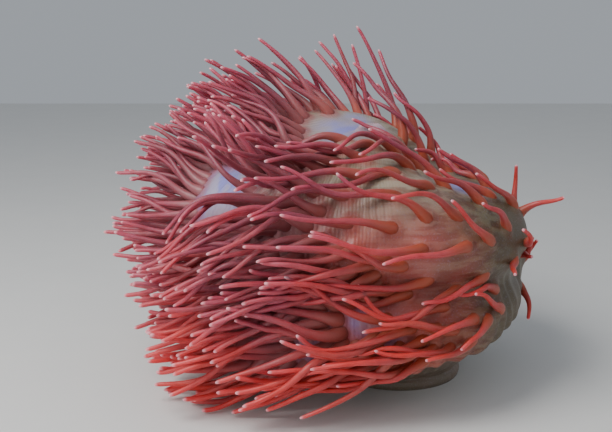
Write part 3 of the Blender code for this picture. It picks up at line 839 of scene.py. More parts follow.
class Paint:
    """A Principled material whose nodes are laid one call at a time."""

    def __init__(self, name: str) -> None:
        """Start a material with this name.

        Args:
            name: the material's name.
        """
        self.material = bpy.data.materials.new(name)
        self.material.use_nodes = True
        self.tree = self.material.node_tree
        self.surface = self.tree.nodes["Principled BSDF"]

    def feed(self, socket: Socket, value: Any) -> None:
        """Link or set one input.

        Args:
            socket: the input.
            value: a node's output to link, or a number, vector or colour to set.
        """
        if isinstance(value, Socket):
            self.tree.links.new(value, socket)
        else:
            socket.default_value = (*value, 1.0) if socket.type == "RGBA" else value

    def node(self, kind: str, feeds: dict[Any, Any], **settings: Any) -> bpy.types.Node:
        """A new node.

        Args:
            kind: its type, without the ShaderNode in front.
            feeds: what goes into its inputs, by their names or numbers.
            settings: its own settings.

        Returns:
            The node.
        """
        made = self.tree.nodes.new("ShaderNode" + kind)
        for name, value in settings.items():
            setattr(made, name, value)
        for socket, value in feeds.items():
            self.feed(made.inputs[socket], value)
        return made

    def set(self, **numbers: Any) -> None:
        """Set or link the surface's own sockets, named with underscores for spaces."""
        for name, value in numbers.items():
            self.feed(self.surface.inputs[name.replace("_", " ")], value)

    def place(self) -> Socket:
        """Object coordinates."""
        return self.node("TexCoord", {}).outputs["Object"]

    def mapped(self, **changes: Triple) -> Socket:
        """Object coordinates, moved or stretched."""
        return self.node("Mapping", {"Vector": self.place(), **changes}).outputs[0]

    def xyz(self, vector: Socket) -> tuple[Socket, ...]:
        """The three numbers of a vector."""
        return tuple(self.node("SeparateXYZ", {0: vector}).outputs)

    def value(self, attribute: str) -> Socket:
        """A number that the mesh carries at each point."""
        return self.node("Attribute", {}, attribute_name=attribute).outputs["Fac"]

    def sum(self, operation: str, *values: Any) -> Socket:
        """One step of arithmetic on up to three values."""
        return self.node("Math", dict(enumerate(values)), operation=operation).outputs[0]

    def mix(self, share: Any, first: Any, second: Any) -> Socket:
        """A number between two others, by a share."""
        return self.sum("MULTIPLY_ADD", self.sum("SUBTRACT", second, first), share, first)

    def span(self, value: Any, low: float, high: float, start: float = 0.0, end: float = 1.0) -> Socket:
        """The value stretched smoothly from one range to another."""
        feeds = dict(enumerate((value, low, high, start, end)))
        return self.node("MapRange", feeds, interpolation_type="SMOOTHSTEP").outputs[0]

    def blend(self, share: Any, first: Any, second: Any, kind: str = "MIX") -> Socket:
        """One colour laid over another.

        Args:
            share: how much of it is laid on.
            first: the colour below.
            second: the colour laid over it.
            kind: how they join.

        Returns:
            The colour that comes of it.
        """
        made = self.node("Mix", {}, data_type="RGBA", blend_type=kind)
        sockets = {item.identifier: item for item in (*made.inputs, *made.outputs)}
        for name, value in (("Factor_Float", share), ("A_Color", first), ("B_Color", second)):
            self.feed(sockets[name], value)
        return sockets["Result_Color"]

    def layers(self, colour: Any, *laid: tuple[Any, ...]) -> Socket:
        """Colours laid over each other in turn.

        Args:
            colour: the lowest one.
            laid: for each of the others how much of it is laid on, the colour, and how it joins.

        Returns:
            The colour that comes of them.
        """
        for share, over, *kind in laid:
            colour = self.blend(share, colour, over, *kind)
        return colour

    def noise(self, scale: float, detail: float, vector: Any = None) -> Socket:
        """Soft noise on object coordinates, or on another vector."""
        feeds = {"Vector": vector or self.place(), "Scale": scale, "Detail": detail}
        return self.node("TexNoise", feeds).outputs["Fac"]

    def ramp(self, value: Any, ends: tuple[Any, Any], between: tuple[Any, ...]) -> Socket:
        """Colours in turn along a value.

        Args:
            value: the number to go by.
            ends: place and colour of the first stop and of the last.
            between: the same for the stops between them.

        Returns:
            The colour.
        """
        made = self.node("ValToRGB", {"Fac": value})
        stops = made.color_ramp.elements
        for stop, (place, colour) in zip(stops, ends):
            stop.position = place
            stop.color = (*colour, 1.0)
        for place, colour in between:
            stops.new(place).color = (*colour, 1.0)
        return made.outputs["Color"]

    def relief(self, height: Any, distance: float, strength: float, **under: Socket) -> Socket:
        """Bump from a height, over the Normal of the bump that comes before it."""
        feeds = {"Height": height, "Distance": distance, "Strength": strength, **under}
        return self.node("Bump", feeds).outputs["Normal"]


@dataclass(frozen=True)
class Markings:
    """Colours that the skin and the tentacles share, so that one runs into the other.

    A span is where a colour starts and where it is full, and how much of it there is at the two.
    Noise is given by its scale and its detail.
    """

    root: Triple = (0.38, 0.072, 0.032)
    dusky: Triple = (0.30, 0.100, 0.115)
    # The darker mauve up and to the left is partly the flesh's own hue, partly painted shade.
    mauve_and_painted_shade: Triple = (0.23, 0.036, 0.070)
    brick: Triple = (0.52, 0.026, 0.014)
    coral: Triple = (0.60, 0.034, 0.026)
    rose: Triple = (0.76, 0.078, 0.090)
    pink: Triple = (0.62, 0.105, 0.170)
    tip: Triple = (0.96, 0.40, 0.46)
    brown_side: Span = (-0.13, 0.01)
    pink_drift: Span = (0.45, 1.0)
    drift_left: float = -1.6
    drift_up: float = 3.2
    drift_start: float = -0.25
    drift_patches: Pair = (14.0, 2.0)
    patch_share: float = 0.9
    brick_stop: float = 0.10
    coral_stop: float = 0.50
    mauve_and_painted_shade_stop: float = 0.95

    def root_hue(self, paint: Paint) -> Socket:
        """Colour of the flesh at the roots: brown to the right and dusky to the left."""
        across, _, _ = paint.xyz(paint.place())
        return paint.blend(paint.span(across, *self.brown_side), self.dusky, self.root)

    def drift(self, paint: Paint) -> Socket:
        """How far the colour has gone over from low and right to high and left, in soft patches.

        Args:
            paint: the material.

        Returns:
            About 0 low and to the right of the animal, about 1 high and to the left.
        """
        across, _, height = paint.xyz(paint.place())
        across = paint.sum("MULTIPLY_ADD", across, self.drift_left, self.drift_start)
        upward = paint.sum("MULTIPLY_ADD", height, self.drift_up, across)
        return paint.sum("MULTIPLY_ADD", paint.noise(*self.drift_patches), self.patch_share, upward)

    def body_hue(self, paint: Paint) -> Socket:
        """Colour of the flesh by its place on the animal: brick to the right, dark mauve up and left, partly
        its own hue and partly painted shade.
        """
        ends = ((self.brick_stop, self.brick), (self.mauve_and_painted_shade_stop, self.mauve_and_painted_shade))
        return paint.ramp(self.drift(paint), ends, ((self.coral_stop, self.coral),))

    def rosy_hue(self, paint: Paint) -> Socket:
        """The brighter colour towards the tips: rose to the right, pink up and left."""
        return paint.blend(paint.span(self.drift(paint), *self.pink_drift), self.rose, self.pink)


@dataclass(frozen=True)
class TentacleFinish:
    """Wet, slightly clear flesh: brown at the root, coral along the arm and pale at the tip."""

    name: str = "tentacle_flesh"
    markings: Markings = Markings()
    rosy_tint: Span = (0.2, 1.0, 0.0, 0.40)
    dull_turns: float = 7.3
    dull_tint: Span = (0.45, 1.0, 0.0, 0.40)
    speckle: Pair = (900.0, 2.0)
    speckled: Span = (0.52, 0.75, 0.0, 0.30)
    patches: Pair = (120.0, 3.0)
    patched: Span = (0.40, 0.70, 0.0, 0.35)
    dusky_share: float = 0.30
    root_end: Span = (0.04, 0.42)
    arm_start: Span = (0.35, 0.78)
    rosy_end: Span = (0.70, 0.96, 0.0, 0.45)
    tip_end: Span = (0.95, 0.995)
    folds: Pair = (420.0, 3.0)
    fold_relief: Pair = (0.0004, 0.5)
    speckle_relief: Pair = (0.00015, 0.6)
    roughness: Span = (0.2, 0.8, 0.38, 0.56)

    def material(self) -> bpy.types.Material:
        """The finish as a material that reads the points' `along` and `tint`.

        Returns:
            The material.
        """
        paint = Paint(self.name)
        marks = self.markings
        along, tint = paint.value("along"), paint.value("tint")
        rosy, root = marks.rosy_hue(paint), marks.root_hue(paint)
        dull = paint.sum("FRACT", paint.sum("MULTIPLY", tint, self.dull_turns))
        speckle, patches = paint.noise(*self.speckle), paint.noise(*self.patches)
        arm = paint.layers(
            marks.body_hue(paint),
            (paint.span(tint, *self.rosy_tint), rosy),
            (paint.span(dull, *self.dull_tint), root),
            (paint.span(speckle, *self.speckled), rosy),
            (paint.span(patches, *self.patched), marks.brick, "MULTIPLY"),
        )
        colour = paint.layers(
            root,
            (paint.span(along, *self.root_end), paint.blend(self.dusky_share, arm, marks.dusky)),
            (paint.span(along, *self.arm_start), arm),
            (paint.span(along, *self.rosy_end), rosy),
            (paint.span(along, *self.tip_end), marks.tip),
        )
        folds = paint.relief(paint.noise(*self.folds), *self.fold_relief)
        paint.set(
            Base_Color=colour,
            Roughness=paint.span(patches, *self.roughness),
            Normal=paint.relief(speckle, *self.speckle_relief, Normal=folds),
            Subsurface_Weight=0.60,
            Subsurface_Radius=(1.0, 0.35, 0.28),
            Subsurface_Scale=0.008,
            Sheen_Weight=0.15,
            Sheen_Roughness=0.35,
            Sheen_Tint=(1.0, 0.36, 0.40),
            Coat_Weight=0.10,
            Coat_Roughness=0.28,
        )
        return paint.material


@dataclass(frozen=True)
class SkinFinish:
    """Soft wet skin: cream streaked from the mouth outwards, violet where it is bare with a painted
    highlight, and painted shade between the tentacles, to the right and underneath.
    """

    name: str = "disc_skin"
    markings: Markings = Markings()
    cream: Triple = (0.36, 0.30, 0.22)
    shade: Triple = (0.20, 0.14, 0.10)
    violet: Triple = (0.20, 0.21, 0.60)
    milk: Triple = (0.39, 0.37, 0.56)
    sage: Triple = (0.26, 0.28, 0.19)
    # Dark olive and moss at the right end: partly the skin's own colour, partly painted shade on the side
    # away from the lights.
    olive_in_painted_shade: Triple = (0.040, 0.036, 0.015)
    moss_in_painted_shade: Triple = (0.110, 0.110, 0.055)
    # The column's dark olive-brown is partly its own colour, partly painted shade under the disc.
    column: Triple = (0.15, 0.12, 0.075)
    wart: Triple = (0.28, 0.24, 0.17)
    lips: Triple = (0.50, 0.36, 0.42)
    fine_streaks: tuple[int, float] = (260, 16.0)
    broad_streaks: tuple[int, float] = (120, 12.0)
    streak_bends: Pair = (38.0, 2.0)
    fine_share: float = 0.55
    broad_share: float = 0.45
    drawn_stretch: Triple = (12.0, 130.0, 230.0)
    drawn_detail: float = 3.0
    drawn_contrast: Span = (0.38, 0.62)
    drawn_side: Span = (-0.08, 0.02)
    cloudy_end: Span = (0.055, 0.090)
    clouds: Pair = (26.0, 4.0)
    grain: Pair = (700.0, 3.0)
    blotches: Pair = (48.0, 3.0)
    blotched: Span = (0.38, 0.58)
    bloom_and_highlight_strength: float = 0.85
    cream_lines: Span = (0.0, 1.0, 0.2, 1.0)
    sage_clouds: Span = (0.45, 0.70, 0.0, 0.45)
    rosy_below: Span = (0.190, 0.140, 0.0, 0.60)
    cloud_reach: float = 0.04
    olive_and_painted_shade_side: Span = (0.020, 0.095, 0.0, 0.92)
    gap_shade_side: Span = (-0.04, 0.05, 0.85, 0.10)
    root_share: float = 0.80
    column_clouds: Span = (0.35, 0.70)
    milky_grain: Span = (0.50, 0.80, 0.0, 0.22)
    line_relief: Pair = (0.0006, 0.7)
    grain_relief: Pair = (0.00025, 0.7)
    roughness: Span = (0.2, 0.8, 0.42, 0.58)

    def streaks(self, paint: Paint, axis: Array, count: int, wander: float) -> Socket:
        """Fine lines that run from the mouth to the edge.

        Args:
            paint: the material they are laid in.
            axis: a point on the disc's upright axis.
            count: how many lines go round the disc.
            wander: how far noise bends them, in radians of a line's own turn.

        Returns:
            0 to 1 across each line.
        """
        across, deep, _ = paint.xyz(paint.mapped(Location=(-axis[0], -axis[1], 0.0)))
        turn = paint.sum("MULTIPLY", paint.sum("ARCTAN2", deep, across), count)
        bent = paint.sum("MULTIPLY_ADD", paint.noise(*self.streak_bends), wander, turn)
        return paint.sum("MULTIPLY_ADD", paint.sum("SINE", bent), 0.5, 0.5)

    def lines(self, paint: Paint, axis: Array, across: Socket, clouds: Socket) -> Socket:
        """The skin's lines: from the mouth outwards, then along the current, which draws it taut.

        Args:
            paint: the material they are laid in.
            axis: a point on the disc's upright axis.
            across: how far each place is to the right.
            clouds: soft clouds, which take the lines' place at the right end.

        Returns:
            0 to 1 across each line.
        """
        fine = self.streaks(paint, axis, *self.fine_streaks)
        broad = paint.sum("MULTIPLY", self.streaks(paint, axis, *self.broad_streaks), self.broad_share)
        radial = paint.sum("MULTIPLY_ADD", fine, self.fine_share, broad)
        drawn = paint.noise(1.0, self.drawn_detail, paint.mapped(Scale=self.drawn_stretch))
        drawn = paint.span(drawn, *self.drawn_contrast)
        drawn = paint.mix(paint.span(across, *self.cloudy_end), drawn, clouds)
        return paint.mix(paint.span(across, *self.drawn_side), radial, drawn)

    def material(self, axis: Array) -> bpy.types.Material:
        """The finish as a material that reads the marks the skin carries.

        Args:
            axis: a point on the disc's upright axis.

        Returns:
            The material.
        """
        paint = Paint(self.name)
        body = self.markings.body_hue(paint)
        clouds, grain = paint.noise(*self.clouds), paint.noise(*self.grain)
        across, _, height = paint.xyz(paint.place())
        line = self.lines(paint, axis, across, clouds)
        dim = paint.sum("MULTIPLY_ADD", clouds, self.cloud_reach, across)
        bloom_and_highlight = paint.value("bloom_and_highlight")
        violet = paint.sum("MULTIPLY", bloom_and_highlight, paint.span(paint.noise(*self.blotches), *self.blotched))
        root_and_gap_shade = paint.sum("MULTIPLY", paint.value("root_flush_and_gap_shade"), paint.span(dim, *self.gap_shade_side))
        column = paint.blend(paint.span(clouds, *self.column_clouds), self.column, self.shade)
        colour = paint.layers(
            self.shade,
            (paint.span(line, *self.cream_lines), self.cream),
            (paint.span(clouds, *self.sage_clouds), self.sage),
            (paint.span(height, *self.rosy_below), body),
            # Darker and greener towards the right end: partly olive skin, partly painted shade.
            (paint.span(dim, *self.olive_and_painted_shade_side), paint.blend(line, self.olive_in_painted_shade, self.moss_in_painted_shade)),
            # Milky violet on the bare places: partly the skin's own colour, partly a painted highlight.
            (paint.sum("MULTIPLY", bloom_and_highlight, self.bloom_and_highlight_strength), self.milk),
            (paint.sum("MULTIPLY", violet, self.bloom_and_highlight_strength), self.violet),
            # The tentacle bases' colour round the roots: partly their own, partly painted shade in the gaps
            # between the tentacles, weak on the bare right side.
            (root_and_gap_shade, paint.blend(self.root_share, body, self.markings.root_hue(paint))),
            (paint.value("lips"), self.lips),
            # Underside and column: dark olive-brown with paler warts, partly their own colour and partly
            # painted shade under the disc.
            (paint.value("under"), paint.blend(paint.value("warts"), column, self.wart)),
            (paint.span(grain, *self.milky_grain), self.milk),
        )
        ribs = paint.relief(line, *self.line_relief)
        paint.set(
            Base_Color=colour,
            Roughness=paint.span(clouds, *self.roughness),
            Normal=paint.relief(grain, *self.grain_relief, Normal=ribs),
            Subsurface_Weight=0.30,
            Subsurface_Radius=(1.0, 0.65, 0.45),
            Subsurface_Scale=0.004,
            Coat_Weight=0.14,
            Coat_Roughness=0.25,
        )
        return paint.material


@dataclass(frozen=True)
class FloorFinish:
    """Plain pale matt floor with a faint grain."""

    name: str = "pale_floor"
    light: Triple = (0.74, 0.74, 0.72)
    dark: Triple = (0.70, 0.70, 0.69)
    grain: Pair = (18.0, 4.0)

    def material(self) -> bpy.types.Material:
        """The finish as a material.

        Returns:
            The material.
        """
        paint = Paint(self.name)
        paint.set(Base_Color=paint.blend(paint.noise(*self.grain), self.dark, self.light), Roughness=0.85)
        return paint.material


# ---------------------------------------------------------------- the skin


class Zone(Enum):
    """Bands of the skin from the mouth down to the sole, each with its number of rings."""

    CROWN = 22
    DISC = 104
    LIP = 20
    COLUMN = 42
    FOOT = 8
    SOLE = 5


@dataclass
class Mouth:
    """The oval mouth on the crown, with its pleated lips and its slit.

    Reaches on the oval are shares of the lips' half length and half width.
    """

    crown: Array
    half: Pair = (0.0125, 0.0082)
    height: float = 0.0058
    ridge: float = 0.62
    ridge_width: float = 0.34
    pleats: int = 22
    pleat_depth: float = 0.10
    pleated: Pair = (0.25, 0.9)
    slit_width: float = 0.0016
    slit_depth: float = 0.0050
    slit_end: Pair = (0.0085, 0.0115)
    slit_reach: Pair = (1.2, 0.8)
    colour_reach: float = 0.8
    colour_fade: float = 0.35

    def relief(self, places: Array) -> tuple[Array, Array]:
        """Height of the lips over the crown, and their share of colour.

        Args:
            places: places of the vertices.

        Returns:
            Height above the crown and colour share, each one number a place.
        """
        across, deep, _ = (places - self.crown).T
        oval = np.hypot(across / self.half[0], deep / self.half[1])
        angle = np.arctan2(deep, across)
        pleat = 1 + self.pleat_depth * np.cos(self.pleats * angle) * smooth_step(oval, *self.pleated)
        ring = bell(oval - self.ridge, self.ridge_width) * pleat
        slit = bell(np.abs(deep), self.slit_width) * (1 - smooth_step(np.abs(across), *self.slit_end))
        height = self.height * ring - self.slit_depth * slit * smooth_step(oval, *self.slit_reach)
        return height, bell(np.maximum(oval - self.colour_reach, 0.0), self.colour_fade)


@dataclass
class Skin:
    """The whole flesh in one closed piece, from the mouth over the edge to the sole.

    A station is the number of a vertex's zone plus its share of the way through the zone.
    """

    form: DiscForm
    roots: Array
    segments: int = 400
    crown_polar: float = 0.19
    lip_drop: float = 0.005
    lip_climb: float = 1.6
    lip_turn: float = 0.22
    lip_power: float = 1.5
    mound_height: float = 0.0024
    mound_radius: float = 0.0044
    mound_fade: float = 0.0030
    # Near each root the skin takes the tentacle base's colour: partly its own, partly painted shade in the
    # gaps between the tentacles.
    gap_shade_radius: float = 0.0050
    gap_shade_fade: float = 0.0048
    rib_count: int = 120
    rib_height: float = 0.00028
    rib_start: Pair = (0.02, 0.07)
    rib_end: Pair = (-0.08, 0.02)
    ruffle_count: int = 44
    ruffle_height: float = 0.0016
    wobbles: tuple[Triple, ...] = ((0.9, 7, 9), (0.7, 11, -6))
    disc_end: Pair = (2.05, 2.5)
    edge_band: tuple[Pair, Pair] = ((1.72, 2.05), (2.5, 3.0))
    underside: Pair = (2.15, 2.8)
    column_band: tuple[Pair, Pair] = ((2.75, 3.05), (3.9, 4.0))
    mouth_end: Pair = (0.8, 1.0)
    column_radii: tuple[Pair, ...] = (
        (0.0, 0.053), (0.20, 0.069), (0.48, 0.082), (0.80, 0.085), (1.0, 0.080)
    )
    foot_edge: tuple[Pair, ...] = ((0.0, 0.985), (0.32, 1.0), (0.72, 0.99), (1.0, 0.935))
    wart_rows: int = 40
    wart_pitch: float = 0.0085
    wart_size: float = 0.0017
    wart_height: float = 0.0010
    wart_shift: Pair = (0.25, 2.4)
    map_margin: float = 0.002

    def __post_init__(self) -> None:
        """Take the column's and the foot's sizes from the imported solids, and count the rings."""
        _, low, high = middle_of("column")
        self.column_low, self.column_top = float(low[2]), float(high[2])
        _, foot_low, foot_high = middle_of("pedal_disc")
        self.foot_radius = float(foot_high[0] - foot_low[0]) / 2
        self.foot_height = float(foot_high[2])
        self.rings = sum(zone.value for zone in Zone)

    def column_radius(self, height: Array) -> Array:
        """The column's radius.

        Args:
            height: heights over the floor.

        Returns:
            The radius at each height.
        """
        share = (height - self.column_low) / (self.column_top - self.column_low)
        shares, radii = np.array(self.column_radii).T
        return np.interp(share, shares, radii)

    def lip_point(self, azimuth: Array, share: Array) -> Array:
        """Places from the disc's edge round the lip to the column.

        Args:
            azimuth: azimuths about the disc's axis.
            share: share of the way in at each azimuth.

        Returns:
            One place for each azimuth.
        """
        centre = self.form.centre
        edge = self.form.surface(direction(azimuth, self.form.margin_polar(azimuth)))
        spoke = np.hypot(*(edge - centre)[..., :2].T).T
        radius = self.column_radius(edge[..., 2] + self.lip_climb * self.lip_drop)
        wall = np.sqrt(radius**2 - (centre[0] * np.sin(azimuth)) ** 2) - centre[0] * np.cos(azimuth)
        inward = share**self.lip_power
        down = -np.sin(np.minimum(inward / self.lip_turn, 1.0) * math.pi / 2)
        rise = smooth_step(inward, self.lip_turn, 1.0) * (1 + self.lip_climb)
        height = edge[..., 2] + (down + rise) * self.lip_drop
        return centre * (1.0, 1.0, 0.0) + round_axis(spoke + inward * (wall - spoke), azimuth, height)

    def zone_places(self, zone: Zone, share: Array, azimuth: Array, wall: Array) -> Array:
        """Places in one band of the skin.

        Args:
            zone: the band.
            share: share of the way through it, from the mouth's side.
            azimuth: azimuths about the disc's axis.
            wall: where the lip meets the column at each azimuth.

        Returns:
            One place for each azimuth.
        """
        bearing = np.arctan2(wall[:, 1], wall[:, 0])
        shares, widths = np.array(self.foot_edge).T
        if zone is Zone.CROWN:
            return self.form.surface(direction(azimuth, share * self.crown_polar))
        if zone is Zone.DISC:
            polar = self.crown_polar + share * (self.form.margin_polar(azimuth) - self.crown_polar)
            return self.form.surface(direction(azimuth, polar))
        if zone is Zone.LIP:
            return self.lip_point(azimuth, share)
        if zone is Zone.COLUMN:
            height = wall[:, 2] + share * (self.foot_height - wall[:, 2])
            return round_axis(self.column_radius(height), bearing, height)
        if zone is Zone.FOOT:
            radius = self.foot_radius * np.interp(1 - share, shares, widths)
            return round_axis(radius, bearing, self.foot_height * (1 - share))
        return round_axis(self.foot_radius * widths[0] * (1 - share), bearing, np.zeros_like(share))

    def lay(self, azimuth: Array, ring: Array) -> tuple[Array, Array]:
        """Place of every vertex before its fine relief.

        Args:
            azimuth: azimuth of each vertex about the disc's axis.
            ring: number of each vertex's ring, from the crown.

        Returns:
            The places and the stations.
        """
        places = np.zeros((len(ring), 3))
        station = np.zeros(len(ring))
        wall = self.lip_point(azimuth, np.ones_like(azimuth))
        start = 0
        for number, zone in enumerate(Zone):
            inside = (ring > start) & (ring <= start + zone.value)
            if zone is Zone.CROWN:
                inside |= ring == start
            share = (ring[inside] - start) / zone.value
            station[inside] = number + share
            places[inside] = self.zone_places(zone, share, azimuth[inside], wall[inside])
            start += zone.value
        return places, station

    def warts(self, places: Array) -> Array:
        """Rows of sticky warts down the column, each row at heights of its own.

        Args:
            places: places of the vertices.

        Returns:
            Each vertex's share of a wart.
        """
        row = np.arctan2(places[:, 1], places[:, 0]) / TURN * self.wart_rows
        nearest = np.round(row)
        around = (row - nearest) * TURN / self.wart_rows * np.hypot(places[:, 0], places[:, 1])
        shift, wander = self.wart_shift
        level = places[:, 2] / self.wart_pitch + 0.5 * (nearest % 2) + shift * np.sin(nearest * wander)
        upward = (level - np.round(level)) * self.wart_pitch
        return bell(np.hypot(around, upward), self.wart_size)

    def detail(self, places: Array, station: Array, azimuth: Array) -> tuple[Array, dict[str, Array]]:
        """The fine relief, and the marks that the material reads.

        Args:
            places: places of the vertices before their relief.
            station: their stations.
            azimuth: their azimuths about the disc's axis.

        Returns:
            The places with their relief, and the marks by name.
        """
        on_disc = 1 - smooth_step(station, *self.disc_end)
        near_mouth = 1 - smooth_step(station, *self.mouth_end)
        tree = search_tree(self.roots)
        distance = np.array([tree.find(place)[2] for place in places])
        spoke = np.hypot(*(places - self.form.centre)[:, :2].T)
        ray = unit(places - self.form.centre)
        outward = unit(places * (1.0, 1.0, 0.0))
        swings, turns, tilts = np.array(self.wobbles).T[..., None]
        wobble = np.sum(swings * np.sin(turns * azimuth + tilts * ray[:, 2]), axis=0)
        mound = self.mound_height * bell(np.maximum(distance - self.mound_radius, 0.0), self.mound_fade)
        rib = self.rib_height * np.cos(self.rib_count * azimuth + wobble)
        rib = rib * smooth_step(spoke, *self.rib_start) * (1 - smooth_step(places[:, 0], *self.rib_end))
        ruffle = self.ruffle_height * band(station, *self.edge_band)
        ruffle = ruffle * np.cos(self.ruffle_count * azimuth + 2 * wobble)
        warts = self.warts(places) * band(station, *self.column_band)
        lip_rise, lips = Mouth(self.form.crown).relief(places)
        relief = (mound + rib) * on_disc + ruffle
        places = places + ray * relief[:, None] + outward * (self.wart_height * warts)[:, None]
        places[:, 2] += lip_rise * near_mouth
        # Milky violet patches: partly the skin's own colour, partly a painted highlight.
        bloom_and_highlight = np.zeros(len(places))
        for middle, patch in self.form.middles(self.form.blooms_and_highlights):
            away = np.linalg.norm(places - middle, axis=-1)
            bloom_and_highlight = np.maximum(bloom_and_highlight, patch.share * bell(away, patch.radius))
        return places, {
            # Share of the roots' colour: partly the tentacle bases' own, partly painted shade between the
            # tentacles.
            "root_flush_and_gap_shade": on_disc * bell(np.maximum(distance - self.gap_shade_radius, 0.0), self.gap_shade_fade),
            "bloom_and_highlight": bloom_and_highlight * on_disc,
            "lips": lips * near_mouth,
            "under": smooth_step(station, *self.underside),
            "warts": warts,
        }

    def build(self) -> bpy.types.Object:
        """Make the skin, give it its marks and dress it.

        Returns:
            The skin, riding on the body.
        """
        shape = bmesh.new()
        bmesh.ops.create_uvsphere(shape, u_segments=self.segments, v_segments=self.rings, radius=1.0)
        mesh = to_mesh(shape, "skin")
        ball = points_of(mesh)
        azimuth = np.arctan2(ball[:, 1], ball[:, 0])
        ring = np.round(np.arccos(np.clip(ball[:, 2], -1, 1)) / math.pi * self.rings)
        places, station = self.lay(azimuth, ring)
        places, marks = self.detail(places, station, azimuth)
        give_marks(mesh, marks)
        self.unwrap(mesh, azimuth, ring)
        skin = dress(mesh, places, SkinFinish().material(self.form.centre))
        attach(skin, "root")
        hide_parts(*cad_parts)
        return skin

    def unwrap(self, mesh: bpy.types.Mesh, azimuth: Array, ring: Array) -> None:
        """Unroll the skin: its azimuth across the map and its rings up it, open at the back.

        Args:
            mesh: the skin's mesh.
            azimuth: azimuth of each vertex.
            ring: ring number of each vertex.
        """
        corners = np.empty(len(mesh.loops), dtype=int)
        mesh.loops.foreach_get("vertex_index", corners)
        sides = np.empty(len(mesh.polygons), dtype=int)
        mesh.polygons.foreach_get("loop_total", sides)
        face = np.repeat(np.arange(len(sides)), sides)
        across = ((azimuth - math.pi / 2) / TURN % 1.0)[corners]
        pole = (ring[corners] == 0) | (ring[corners] == self.rings)
        highest = np.full(len(sides), -1.0)
        np.maximum.at(highest, face[~pole], across[~pole])
        # Where a face reaches over the seam, its far corners go past the map's right edge.
        over_seam = (highest[face] > 0.75) & (across < 0.25) & ~pole
        across = np.where(over_seam, across + 1.0, across)
        total = np.zeros(len(sides))
        np.add.at(total, face[~pole], across[~pole])
        across = np.where(pole, total[face] / 2, across)
        layer = mesh.uv_layers.new(name=BAKE_MAP)
        places = np.stack((across, 1 - ring[corners] / self.rings), axis=-1)
        places = places * (1 - 2 * self.map_margin) + self.map_margin
        layer.data.foreach_set("uv", places.astype(np.float32).ravel())


# ---------------------------------------------------------------- the tentacles


